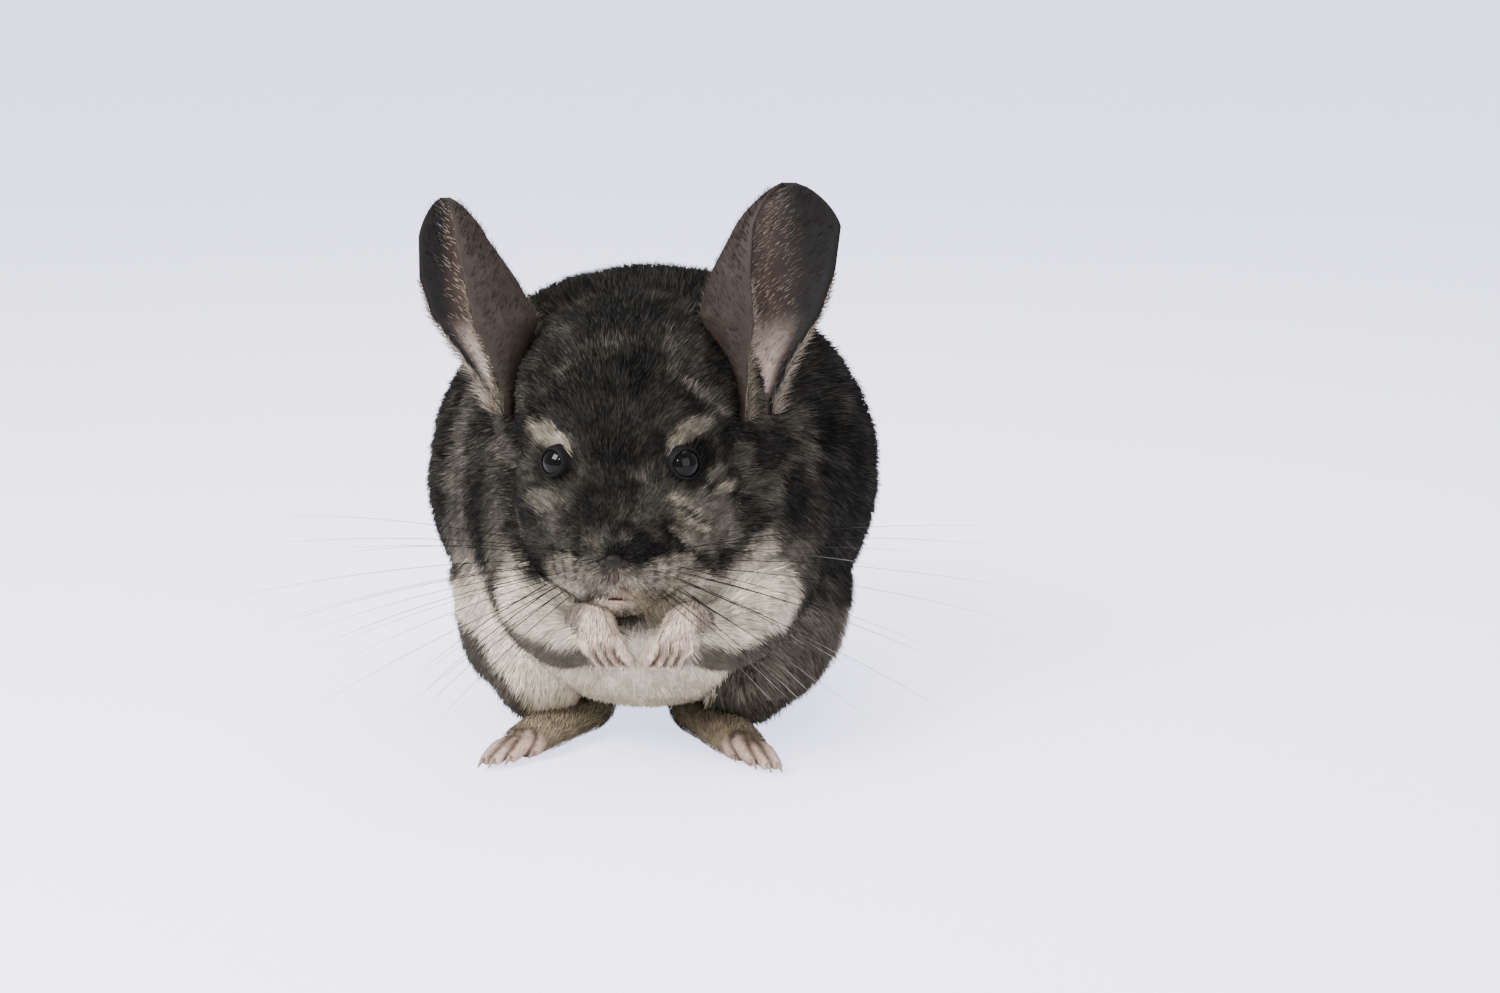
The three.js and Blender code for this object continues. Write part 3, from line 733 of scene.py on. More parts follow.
def growCoat():
    surface = readSurface(skin)

    def density(places):
        far = lengths(places - noseTip)
        wanted = mix(coat["faceDensity"], coat["crownDensity"], smooth((far - 30) / 30))
        wanted = mix(wanted, coat["bodyDensity"], smooth((far - 70) / 40))
        wanted = np.where(places[:, 1] > 80, wanted * 0.75, wanted)
        hidden = (places[:, 2] < 3) | (places[:, 1] > 156) | (outerDepth(places) > 16)
        return np.where(hidden, 0.0, wanted)

    roots, normals, uv = scatter(surface, density)
    count = len(roots)
    depth = outerDepth(roots)
    flow = lieOfCoat(roots, normals)
    lock = softNoise(roots, 2.6, 6)
    far = lengths(roots - noseTip)
    slant = mix(*coat["slant"], smooth((far - 25) / 50))
    height = np.clip(depth, 0.7, 9) * mix(0.86, 1.04, lock) * vary(0.9, 1.03, count)
    height = height * (1 - coat["foldDepth"] * foldDip(roots))
    lay = height * slant * vary(0.8, 1.2, count)
    width = mix(coat["faceWidth"], coat["bodyWidth"], smooth((far - 14) / 70))
    width = width * vary(0.75, 1.25, count)
    scatterWay = jitter(count) * coat["scatter"]
    height, lay = height[:, None], lay[:, None]
    lines = np.stack([
        roots - normals * coat["rootSink"],
        roots + normals * (height * coat["bendHeight"]) + flow * (lay * coat["bendReach"]),
        roots + normals * height + (flow + scatterWay) * lay,
    ], 1)
    lines[:, 1:, 2] = np.maximum(lines[:, 1:, 2], coat["lowest"])
    stray = mix(coat["faceStray"], coat["bodyStray"], smooth((far - 30) / 40))[:, None]
    seenAt = lines[:, 1] * 0.35 + lines[:, 2] * 0.65  # the part of the tuft that shows takes the markings
    tone, under = coatTones(seenAt + jitter(count) * stray)
    beds = [spot for spot in whiskerRoots if spot[2] > 60.5 and abs(spot[0]) > 7]
    spots = np.min([lengths(seenAt - spot) for spot in beds], axis=0)
    tone = tone * (1 - coat["spotDark"] * smooth(coat["spotReach"] - spots))[:, None]
    keep = depth < coat["deepest"]
    for k in (1, 2):
        for lump in noseLumps + lipLumps:
            keep &= lengths((lines[:, k] - lump[:3]) / (np.array(lump[3:]) + coat["lumpGap"])) > 1
        for side in sideSign:
            seen, near = eyeWindow(lines[:, k], side)
            keep &= ~(seen & (near < eyeRadius + coat["eyeReach"])) & (near > eyeRadius + coat["eyeGap"])
    sideways = unit(np.cross(flow, normals) + jitter(count) * 0.4)
    ticked = (draw.random(count) > 1 - coat["ticked"]) * (1 - under) * coat["tickedTone"]
    pale = blendRows(tones["agouti"], tones["pale"], softNoise(roots, 6, 4) * 0.6)
    loose = mix(1.0, 0.45, under)
    strand = softNoise(roots, 0.9, 2)
    shade = 1 + (draw.random(count) - 0.5) * coat["ownShade"] * loose
    shade = shade * (1 + (lock - 0.5) * coat["lockShade"] * loose)
    shade = shade * (1 + (strand - 0.5) * coat["strandShade"] * loose)
    lift = tone * shade[:, None]
    glow = np.clip(tone.mean(1) / 0.05, 0.28, 1)
    tip = blendRows(lift, pale, ticked * glow)
    base = blendRows(tones["slate"], tones["creamShade"], under)
    colours = np.stack([base * 0.7 + lift * 0.3, lift * 0.85 + base * 0.15, tip], 1)
    nearFace = far < coat["faceReach"]
    order = np.argsort(np.where(nearFace, 0, 1) * 1000 + roots[:, 1] + roots[:, 2] * 0.01, kind="stable")
    order = order[keep[order]]
    limit = coat["tuftsInPiece"]
    pieces = []
    for n in range(0, len(order), limit):
        part = order[n:n + limit]
        made = strandMesh("coat_%02d" % (n // limit), lines[part], width[part, None], sideways[part],
                          colours[part], uv[part], normals[part])
        pieces.append((made, "coat_face" if nearFace[part].mean() > 0.5 else "coat_back"))
    print("coat grown,", len(order), "tufts in", len(pieces), "pieces")
    return pieces


# Materials

def buildUneven():  # a colour that wanders lighter and darker over the piece
    group = bpy.data.node_groups.new("unevenTone", "ShaderNodeTree")
    sockets = group.interface
    for label, kind, value in (("Colour", "NodeSocketColor", (0.5, 0.5, 0.5, 1)),
                               ("Size", "NodeSocketFloat", 200.0), ("Amount", "NodeSocketFloat", 0.3)):
        sockets.new_socket(label, in_out="INPUT", socket_type=kind).default_value = value
    sockets.new_socket("Colour", in_out="OUTPUT", socket_type="NodeSocketColor")
    sockets.new_socket("Grain", in_out="OUTPUT", socket_type="NodeSocketFloat")
    start = group.nodes.new("NodeGroupInput")
    end = group.nodes.new("NodeGroupOutput")
    coordinates = group.nodes.new("ShaderNodeTexCoord")
    noise = group.nodes.new("ShaderNodeTexNoise")
    noise.inputs["Detail"].default_value = 4
    spread = group.nodes.new("ShaderNodeMapRange")
    spread.inputs["From Min"].default_value = 0.3
    spread.inputs["From Max"].default_value = 0.7
    spread.inputs["To Min"].default_value = -1
    scaled = group.nodes.new("ShaderNodeMath")
    scaled.operation = "MULTIPLY_ADD"
    scaled.inputs[2].default_value = 1
    tint = group.nodes.new("ShaderNodeVectorMath")
    tint.operation = "SCALE"
    for source, target in (
        (coordinates.outputs["Object"], noise.inputs["Vector"]),
        (start.outputs["Size"], noise.inputs["Scale"]),
        (noise.outputs["Fac"], spread.inputs["Value"]),
        (spread.outputs["Result"], scaled.inputs[0]),
        (start.outputs["Amount"], scaled.inputs[1]),
        (start.outputs["Colour"], tint.inputs[0]),
        (scaled.outputs[0], tint.inputs["Scale"]),
        (tint.outputs[0], end.inputs["Colour"]),
        (noise.outputs["Fac"], end.inputs["Grain"]),
    ):
        group.links.new(source, target)
    return group


unevenGroup = buildUneven()


# A material takes the colours painted on the piece where it is given no colour of its own
def newMaterial(name, colour=None, size=200.0, amount=0.3, bump=0.0, **settings):
    material = bpy.data.materials.new(name)
    material.use_nodes = True
    nodes, links = material.node_tree.nodes, material.node_tree.links
    shader = nodes["Principled BSDF"]
    for socket, value in settings.items():
        shader.inputs[socket.replace("_", " ")].default_value = value
    uneven = nodes.new("ShaderNodeGroup")
    uneven.node_tree = unevenGroup
    uneven.inputs["Size"].default_value = size
    uneven.inputs["Amount"].default_value = amount
    if colour:
        uneven.inputs["Colour"].default_value = (*colour, 1)
    else:
        reader = nodes.new("ShaderNodeAttribute")
        reader.attribute_name = "coatTone"
        links.new(reader.outputs["Color"], uneven.inputs["Colour"])
    links.new(uneven.outputs["Colour"], shader.inputs["Base Color"])
    if bump:
        relief = nodes.new("ShaderNodeBump")
        relief.inputs["Strength"].default_value = 0.5
        relief.inputs["Distance"].default_value = bump * mm
        links.new(uneven.outputs["Grain"], relief.inputs["Height"])
        links.new(relief.outputs["Normal"], shader.inputs["Normal"])
    return material


materials = {
    "coat": newMaterial("softCoat", size=700, amount=0.22, Roughness=0.7, Specular_IOR_Level=0.02),
    "skin": newMaterial("coatUnderneath", size=700, bump=0.4, Roughness=0.8, Specular_IOR_Level=0.02),
    "paw": newMaterial("pawSkin", size=900, amount=0.25, bump=0.2, Roughness=0.55,
                       Subsurface_Weight=0.15, Subsurface_Scale=0.002),
    "ear": newMaterial("earSkin", size=350, amount=0.18, bump=0.15, Roughness=0.6, Specular_IOR_Level=0.15),
    "eye": newMaterial("wetEye", (0.0025, 0.002, 0.002), 500, 0.4, Roughness=0.05, Specular_IOR_Level=0.16),
    "lid": newMaterial("lidSkin", (0.0045, 0.004, 0.004), 1200, bump=0.1, Roughness=0.6,
                       Specular_IOR_Level=0.1),
    "claw": newMaterial("claw", (0.25, 0.19, 0.14), 900, 0.25, Roughness=0.35),
    "nose": newMaterial("noseSkin", size=1400, bump=0.12, Roughness=0.55, Specular_IOR_Level=0.14),
}


def finish(piece, material, slot, *nodes):
    piece.data.materials.clear()
    piece.data.materials.append(materials[material])
    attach(piece, body)
    if nodes:
        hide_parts(*nodes)


skinTone, skinUnder = coatTones(readSurface(skin)["places"])
paint(skin.data, skinTone * 0.55 + blendRows(tones["slate"], tones["creamShade"], skinUnder) * 0.3)
finish(skin, "skin", "coat_back", "torso", "neck", "head", "thigh_left", "thigh_right",
       "foreleg_left", "foreleg_right", "tail")
for piece, slot in growCoat():
    finish(piece, "coat", slot)
print("coat finished")


# Eyes and their lids

def roundEye(side):
    bpy.ops.object.select_all(action="DESELECT")
    bpy.ops.mesh.primitive_uv_sphere_add(segments=64, ring_count=40, radius=eyeRadius * mm,
                                         location=toFrame(eyeCentre[side]))
    made = bpy.context.object
    made.name = "eyeball_" + side
    made.rotation_euler = Vector(eyeFrames[side][0]).to_track_quat("Z", "Y").to_euler()
    bpy.ops.object.transform_apply(location=True, rotation=True, scale=True)
    bpy.ops.object.shade_smooth()
    finish(made, "eye", "eye", "eye_" + side)


# A sheet of points turned into a closed shell: rows by columns, with a thickness inwards along its normal
def patchMesh(name, grid, thickness, closed=False):
    rows, columns, _ = grid.shape
    dv, du = np.gradient(grid, axis=0), np.gradient(grid, axis=1)
    if closed:
        du = (np.roll(grid, -1, 1) - np.roll(grid, 1, 1)) / 2
    inner = grid - unit(np.cross(du, dv)) * thickness[..., None]
    places = np.concatenate([grid.reshape(-1, 3), inner.reshape(-1, 3)])
    wide = columns if closed else columns - 1
    half, last, end = rows * columns, (rows - 1) * columns, columns - 1
    i, j = np.meshgrid(np.arange(rows - 1), np.arange(wide), indexing="ij")
    a = (i * columns + j).ravel()
    b = (i * columns + (j + 1) % columns).ravel()
    c, d = b + columns, a + columns
    faces = [(a, b, c, d), (a + half, d + half, c + half, b + half)]
    edges = []
    for j in range(wide):
        n = (j + 1) % columns
        edges.append((n, j, j + half, n + half))
        edges.append((last + j, last + n, last + n + half, last + j + half))
    if not closed:
        for i in range(0, last, columns):
            n = i + columns
            edges.append((i, n, n + half, i + half))
            edges.append((n + end, i + end, i + end + half, n + end + half))
    faces = np.concatenate([np.stack(f, 1) for f in faces]).tolist() + edges
    mesh = bpy.data.meshes.new(name)
    mesh.from_pydata(toFrame(places).tolist(), [], faces)
    made = newObject(name, mesh)
    closeShell(made)
    return made


# Growth from the edge of the opening, and height over the eye's ball
lidSection = [(1.0, 0.02), (1.015, 0.25), (1.05, 0.3), (1.09, 0.1), (1.18, -0.8), (1.28, -2.2)]
lid = {"thickness": 0.35, "gap": 0.12, "corners": 72}


def lids(side):
    facing, across, up = eyeFrames[side]
    half, reach = lidOpening[side]
    turns = np.linspace(0, 2 * math.pi, lid["corners"], endpoint=False)
    a = np.cos(turns) * reach  # the edge of the opening, all the way round
    b = np.sin(turns) * half * (1 - 0.12 * np.abs(np.cos(turns)) ** 3)
    rows = []
    for grow, out in lidSection:
        ra, rb = a * grow, b * grow + np.sin(turns) * (grow - 1) * 4
        depth = np.sqrt(np.maximum((eyeRadius + lid["gap"]) ** 2 - ra ** 2 - rb ** 2, 0.5))
        place = eyeCentre[side] + across * ra[:, None] + up * rb[:, None]
        rows.append(place + facing * (depth + out)[:, None])
    grid = np.stack(rows)
    made = patchMesh("lids_" + side, grid, np.full(grid.shape[:2], lid["thickness"]), closed=True)
    finish(made, "lid", "eye")


for side in sideSign:
    roundEye(side)
    lids(side)
print("eyes and lids made")


# Ears

ears = {
    "left": {
        "sign": 1, "height": 62, "tip": 45, "turn": [31, 26.5, 20.8, 24.5, 31, 38],
        "front": [34, 34.5, 36, 35, 35.5, 38], "rear": [41, 46.5, 54.5, 58.5, 60, 56],
    },
    "right": {
        "sign": -1, "height": 57.04, "tip": 52.6, "turn": [32, 30, 26.4, 32.6, 40.8, 46],
        "front": [35, 38, 43, 45.6, 48.5, 50], "rear": [39, 47.5, 56.5, 60.2, 60.2, 58],
    },
}
earReach = [7, 8, 9, 8, 5.5, 2]
earHollow = [3, 5, 6.5, 6, 4, 1]
earFoot = (16, 102)  # how far back and how high the ears' feet stand


def earEdges(ear, v, *keys):  # how far out the ear's edges and its turn stand, closing at the tip
    close = np.sqrt(np.maximum(1 - (np.maximum(v - 0.8, 0) / 0.2) ** 2, 0))
    level = np.clip(v, 0, 1)
    return close, [ear["tip"] + (readAlong(ear[key], level) - ear["tip"]) * close for key in keys]


def earPoint(ear, u, v):  # u runs from the front edge to the rear edge, v from the foot to the tip
    close, (front, middle, rear) = earEdges(ear, v, "front", "turn", "rear")
    level = np.clip(v, 0, 1)
    ahead, behind = readAlong(earReach, level) * close, readAlong(earHollow, level) * close
    xs = np.stack([front, mix(front, middle, 0.62), middle, mix(middle, rear, 0.4), rear], -1)
    fs = np.stack([ahead, 0.72 * ahead, 0 * ahead, -behind, -0.35 * behind], -1)
    ys = earFoot[0] + 7 * v[..., None] - fs
    zs = earFoot[1] + (v * ear["height"])[..., None] + 0 * xs
    places = np.stack([ear["sign"] * xs, ys, zs], -1).reshape(-1, 5, 3)
    found = [runPoints(row, np.array([at]))[0] for row, at in zip(places, u.ravel())]
    return np.reshape(found, u.shape + (3,))


earTones = {
    "outside": (0.027, 0.0195, 0.0155), "cup": (0.060, 0.041, 0.033), "rim": (0.0065, 0.0056, 0.0052),
    "base": (0.66, 0.52, 0.45), "hair": (0.030, 0.022, 0.018), "cupHair": (0.018, 0.014, 0.012),
    "paleHair": (0.50, 0.40, 0.33), "rearFringe": (0.26, 0.22, 0.18), "fringe": (0.14, 0.115, 0.09),
}
earHairs = {"count": 4200, "quickCount": 900, "width": 0.065, "length": (1.8, 3.9), "outside": 0.4}
earFringes = {"count": 2400, "quickCount": 600, "width": 0.07, "length": (1.8, 6.5), "rise": 0.62}


def buildEar(side):
    ear = ears[side]
    v, u = np.meshgrid(np.linspace(-0.06, 0.996, 60), np.linspace(0, 1, 44), indexing="ij")
    grid = earPoint(ear, u, v)
    thick = 0.7 + 0.6 * (1 - v) * np.sin(math.pi * np.clip(u, 0, 1)) ** 0.5
    normal = unit(np.cross(np.gradient(grid, axis=1), np.gradient(grid, axis=0)))
    made = patchMesh("ear_skin_" + side, grid + normal * thick[..., None] / 2, thick)
    surface = readSurface(made)
    places = surface["places"]
    v = (places[:, 2] - earFoot[1]) / ear["height"]
    front, rear = earEdges(ear, v, "front", "rear")[1]
    acrossEar = (ear["sign"] * places[:, 0] - front) / np.maximum(rear - front, 2)
    inside = smooth((-surface["normals"][:, 1] + 0.1) / 0.3) * smooth((acrossEar + 0.02) / 0.05)
    cup = blendRows(earTones["cup"], earTones["rim"], smooth((acrossEar - 0.25 + 0.5 * (v - 0.4)) / 0.5))
    cup = blendRows(cup, earTones["base"], smooth((0.42 - v) / 0.3) * smooth((0.85 - acrossEar) / 0.4))
    tone = blendRows(earTones["outside"], cup, inside)
    tone = blendRows(tone, earTones["rim"], smooth((v - 0.9) / 0.1) * 0.6)
    tone = tone * mix(0.8, 1.2, softNoise(places, 4))[:, None]
    paint(made.data, tone)
    finish(made, "ear", "ear_skin", "ear_" + side)
    return grid, normal


def earHair(side, grid, normal):
    ear = ears[side]
    count = howMany(earHairs)
    rows, columns, _ = grid.shape
    i = draw.integers(2, rows - 3, count)
    j = draw.integers(2, columns - 3, count)
    mixI, mixJ = draw.random(count)[:, None], draw.random(count)[:, None]
    root = grid[i, j] * (1 - mixI) + grid[i + 1, j] * mixI + (grid[i, j + 1] - grid[i, j]) * mixJ
    uv = np.stack([(j + mixJ[:, 0]) / columns, (i + mixI[:, 0]) / rows], -1)
    out = normal[i, j]
    face = np.where(draw.random(count) < 1 - earHairs["outside"], 1.0, -1.0)
    u, v = j / (columns - 1), i / (rows - 1)
    up = unit(grid[np.minimum(i + 1, rows - 1), j] - grid[i, j])
    over = unit(grid[i, np.minimum(j + 1, columns - 1)] - grid[i, j])
    lean = up * 0.75 + over * 0.6 + jitter(count) * 0.5
    length = vary(*earHairs["length"], count)[:, None]
    outward = out * face[:, None]
    start = root + outward * 0.35
    bent = start + lean * length * 0.45 + outward * 0.3
    lines = np.stack([start, bent, start + lean * length + outward * 0.4], 1)
    front, rear = readAlong(ear["front"], v), readAlong(ear["rear"], v)
    acrossEar = np.clip((ear["sign"] * root[:, 0] - front) / np.maximum(rear - front, 2), 0, 1)
    inner = smooth((u - 0.5) / 0.1) * (out[:, 1] * face < 0)
    bright = inner * smooth((0.8 - acrossEar - 0.5 * (v - 0.4)) / 0.6) * 0.85
    bare = np.where((inner > 0.5)[:, None], earTones["cupHair"], earTones["hair"])
    tone = blendRows(bare, earTones["paleHair"], bright) * vary(0.75, 1.2, count)[:, None]
    colours = np.repeat(tone[:, None], 3, axis=1)
    widths = np.full((count, 1), earHairs["width"])
    made = strandMesh("ear_hair_" + side, lines, widths, unit(np.cross(lean, outward)), colours, uv)
    finish(made, "coat", "ear_skin")


def earFringe(side, grid, normal):  # longer soft hair along the edges and the foot of the ear
    ear = ears[side]
    rows, columns, _ = grid.shape
    count = howMany(earFringes)
    turned = columns // 2
    edge = draw.choice([0, columns - 1, turned], count, p=[0.3, 0.4, 0.3])  # front edge, rear edge and turn
    rear = edge == columns - 1
    rise = draw.random(count) ** 1.5 * earFringes["rise"]
    i = (rise * (rows - 2)).astype(int)
    j = edge + np.where(edge == turned, draw.integers(-2, 3, count), 0)
    root = grid[i, j]
    inward = unit(grid[i, np.where(rear, columns - 4, 3)] - root)
    inward = np.where((edge == turned)[:, None], (ear["sign"], -0.4, 0), inward)
    up = unit(grid[np.minimum(i + 2, rows - 1), j] - grid[i, j])
    lean = unit(up * 0.8 - inward * 0.6 + jitter(count) * 1.1)
    rise = rise / earFringes["rise"]
    length = (mix(*earFringes["length"], draw.random(count) ** 1.5) * mix(1.2, 0.4, rise))[:, None]
    tip = root + lean * length + (0, 0, 0.4)
    lines = np.stack([root + inward * 0.5, root + lean * length * 0.4, tip], 1)
    tone = np.where(rear[:, None], earTones["rearFringe"], earTones["fringe"])
    tone = tone * vary(0.3, 1.6, count)[:, None]
    colours = np.repeat(tone[:, None], 3, axis=1)
    widths = np.full((count, 1), earFringes["width"])
    uv = np.stack([rise, draw.random(count)], -1) * 0.96 + 0.02
    made = strandMesh("ear_fringe_" + side, lines, widths, unit(np.cross(lean, normal[i, j])), colours, uv)
    finish(made, "coat", "ear_skin")


for side in sideSign:
    earGrid, earNormal = buildEar(side)
    earHair(side, earGrid, earNormal)
    earFringe(side, earGrid, earNormal)
print("ears made")


# Paws and feet

def fingerLines(side):
    s = sideSign[side]
    wrist = np.array([armShift + 12.5 * s, -23, 47])
    fingers = []
    for f in range(4):
        spread = (f - 1.5) / 1.5
        root = wrist + (-1.5 * s, -1, -1)
        knuckle = wrist + (-s * (2.5 - 3.9 * spread), -5.2, -3 + 0.6 * spread)
        tip = wrist + (-s * (6.2 - 4.6 * spread), -3.7, -11.5 + 1.5 * abs(spread))
        bend = (knuckle + tip) / 2 + (0, -1.6, 0.4)
        fingers.append(np.array([root, knuckle, bend, tip]))
    return wrist, fingers


def buildForepaw(side):
    s = sideSign[side]
    wrist, fingers = fingerLines(side)
    parts = [tubeMesh("palm", [wrist + (3 * s, 5, 1), wrist, wrist + (-3 * s, -4, -3)], [4.4, 4.4, 3.4])]
    nails = []
    for line in fingers:
        parts.append(tubeMesh("finger", line, [2.2, 1.75, 1.5, 1.1]))
        ahead = unit(line[3] - line[2])
        nails.append((line[3] - ahead * 0.2 + (0, -0.5, 0.2), line[3] + ahead * 1.5 + (0, 0.4, -0.3)))
    return joinAndRemesh("paw_" + side, parts, 0.32, 2), nails


def toeLines(side):
    s = sideSign[side]
    heel, ball = np.array([2 + 17 * s, 28, 7.0]), np.array([2 + 32 * s, -1, 4.5])
    ahead = unit(np.array([ball[0] - heel[0], ball[1] - heel[1], 0]))
    out = unit(np.array([s * abs(ahead[1]), -s * ahead[0] * np.sign(-ahead[1]), 0]))
    lines = []
    for f, length in enumerate([8, 12.5, 13, 10.5]):
        spread = (f - 1.5) / 1.5
        start = ball + out * spread * 4.6 - ahead * 3
        tip = start + ahead * length + out * spread * 2.4
        tip[2] = 2.5
        half = (start + tip) / 2
        half[2] = 4.6
        lines.append(np.array([start, half, tip]))
    return heel, ball, ahead, lines


def buildFoot(side):
    heel, ball, ahead, toes = toeLines(side)
    middle = (heel + ball) / 2
    sole = [heel + (0, 6, 8), heel, middle, ball]
    parts = [tubeMesh("sole", sole, [8.0, 8.2, 7.2, 6.0], steps=20, flat=0.72)]
    nails = []
    for line in toes:
        tip = line[2]
        parts.append(tubeMesh("toe", line, [2.4, 2.4, 1.6]))
        nails.append((tip + ahead * 0.6 + (0, 0, 0.8), tip + ahead * 3.4 + (0, 0, -1.0)))
    return joinAndRemesh("foot_" + side, parts, 0.6, 3), nails


def nailMesh(name, nails, width):
    radii = [width, width * 0.75, width * 0.2]
    parts = []
    for root, tip in nails:
        bend = (root + tip) / 2 + (0, 0, 0.35)
        parts.append(tubeMesh("nail", [root, bend, tip], radii, sides=8, steps=8))
    made = joinParts(name, parts)
    closeShell(made)
    finish(made, "claw", "paw_skin")


def shadeBetweenDigits(places, lines, width):  # how much a place lies between two neighbouring fingers or toes, where painted shade darkens them
    gaps = np.sort([limbDistance(places, line, [1.2, 1.2]) for line in lines], axis=0)
    return smooth((width - (gaps[1] - gaps[0])) / width)


def pawTones(places, side):
    tone = np.tile((0.64, 0.51, 0.42), (len(places), 1))
    streak = smooth((softNoise(places * (1, 1, 0.35), 1.1, 1) - 0.5) / 0.2)
    tone = blendRows(tone, (0.34, 0.24, 0.17), streak * 0.6)
    # painted shade: the gaps between the fingers are darkened to brown
    grooveShade = shadeBetweenDigits(places, fingerLines(side)[1], 1.9) * smooth((46.5 - places[:, 2]) / 3)
    tone = blendRows(tone, (0.060, 0.036, 0.022), grooveShade * 0.95)
    outer = smooth((sideSign[side] * (places[:, 0] - armShift) - 15.5 + 0.35 * (places[:, 2] - 44)) / 3)
    return blendRows(tone, tones["agouti"], outer * 0.7)


def footTones(places, side):  # tan behind, and paler pink toes in front; the tan is the foot's pale fur painted darker with the shade it lies in
    back = smooth((places[:, 1] - 2) / 20)
    tone = blendRows((0.27, 0.215, 0.145), (0.14, 0.115, 0.075), back)
    tone = blendRows(tone, (0.56, 0.40, 0.32), smooth((1 - places[:, 1]) / 5))
    # painted shade: the gaps between the toes are darkened
    grooveShade = shadeBetweenDigits(places, toeLines(side)[3], 1.6) * smooth((3 - places[:, 1]) / 4)
    tone = blendRows(tone, (0.07, 0.045, 0.03), grooveShade * 0.9)
    return blendRows(tone, tone * 0.7, smooth((softNoise(places, 2.4, 1) - 0.45) / 0.3))


# Hair of paws and feet: its length from and to, which grows along an axis from a place over a distance,
# the lowest and foremost places where it grows, and the way it lies
pawHair = {
    "density": 9.0, "width": 0.085, "length": (1.5, 3.6), "axis": 2, "from": 40, "over": 6,
    "lowest": 37.0, "foremost": -99, "lie": (0, -0.5, -1.0), "bright": 1.2,
}
footHair = {
    "density": 4.8, "width": 0.10, "length": (0.9, 3.0), "axis": 1, "from": -3, "over": 8,
    "lowest": 2.2, "foremost": -11, "lie": (0, -1.0, -0.15), "bright": 1.1,
}


def shortHair(name, piece, hair, tonesOf, side):
    def density(places):
        grown = (places[:, 2] > hair["lowest"]) & (places[:, 1] > hair["foremost"])
        return np.where(grown, hair["density"], 0.0)

    roots, normals, uv = scatter(readSurface(piece), density)
    count = len(roots)
    flow = tangentOf(hair["lie"] + jitter(count) * 0.4, normals)
    long = mix(*hair["length"], smooth((roots[:, hair["axis"]] - hair["from"]) / hair["over"]))
    long = (long * vary(0.7, 1.3, count))[:, None]
    raised = roots + normals * 0.28 * long
    lines = np.stack([roots - normals * 0.15, raised + flow * long * 0.42, raised + flow * long], 1)
    lines[:, 1:, 2] = np.maximum(lines[:, 1:, 2], 0.35)
    tone = tonesOf(roots, side) * hair["bright"] * vary(0.55, 1.35, count)[:, None]
    colours = np.stack([tone * 0.75, tone, tone * 1.15], 1)
    widths = hair["width"] * vary(0.8, 1.2, count)[:, None]
    made = strandMesh(name, lines, widths, unit(np.cross(flow, normals)), colours, uv, normals)
    finish(made, "coat", "coat_belly")


limbEnds = [  # kind, builder, tones, node, hair and width of the nails
    ("paw", buildForepaw, pawTones, "forepaw_", pawHair, 0.55),
    ("foot", buildFoot, footTones, "hindfoot_", footHair, 0.8),
]
for side in sideSign:
    for kind, build, tonesOf, node, hair, nailWidth in limbEnds:
        made, nails = build(side)
        unwrap(made)
        paint(made.data, tonesOf(readSurface(made)["places"], side))
        finish(made, "paw", "paw_skin", node + side)
        nailMesh(kind + "_nails_" + side, nails, nailWidth)
        shortHair(kind + "_hair_" + side, made, hair, tonesOf, side)
print("paws and feet made")


# Nose

def lumpPiece(name, lumps, voxel):
    parts = []
    for x, y, z, wide, deep, high in lumps:
        bpy.ops.object.select_all(action="DESELECT")
        bpy.ops.mesh.primitive_ico_sphere_add(subdivisions=4, radius=mm, location=toFrame((x, y, z)))
        bpy.context.object.scale = (wide, deep, high)
        bpy.ops.object.transform_apply(location=True, rotation=True, scale=True)
        parts.append(bpy.context.object)
    made = joinAndRemesh(name, parts, voxel, 3)
    unwrap(made)
    return made


def buildNose():
    nose = lumpPiece("nose_pad", noseLumps, 0.25)
    surface = readSurface(nose)
    places = surface["places"]
    near = np.min([lengths((places - n[:3]) / n[3:]) for n in nostrils], axis=0)
    hole = smooth(1.2 - near)
    places = places - surface["normals"] * (hole * 0.9)[:, None]
    nose.data.vertices.foreach_set("co", toFrame(places).ravel())
    tone = blendRows((0.060, 0.042, 0.034), (0.0085, 0.0068, 0.0062), smooth((places[:, 2] - 64.0) / 4.0))
    # painted shade: the nostrils and the cleft below them are darkened nearly to black as the shade in
    # these hollows
    cleftShade = smooth(1 - np.abs(places[:, 0]) / 0.35) * smooth((66.0 - places[:, 2]) / 1.0)
    tone = blendRows(tone, (0.006, 0.004, 0.004), np.maximum(hole, cleftShade * 0.8))
    paint(nose.data, tone)
    finish(nose, "nose", "paw_skin")


def buildMouth():
    mouth = lumpPiece("lips", lipLumps, 0.25)
    places = readSurface(mouth)["places"]
    pink = np.tile((0.34, 0.21, 0.165), (len(places), 1))
    # painted shade: the lip's upper part is darkened nearly to black as the shade in the slit of the mouth
    slitShade = smooth((places[:, 2] - lipLumps[0][2] - 0.1) / 0.5)
    paint(mouth.data, blendRows(pink, (0.02, 0.012, 0.010), slitShade))
    finish(mouth, "nose", "paw_skin")


buildNose()
buildMouth()


# Whiskers

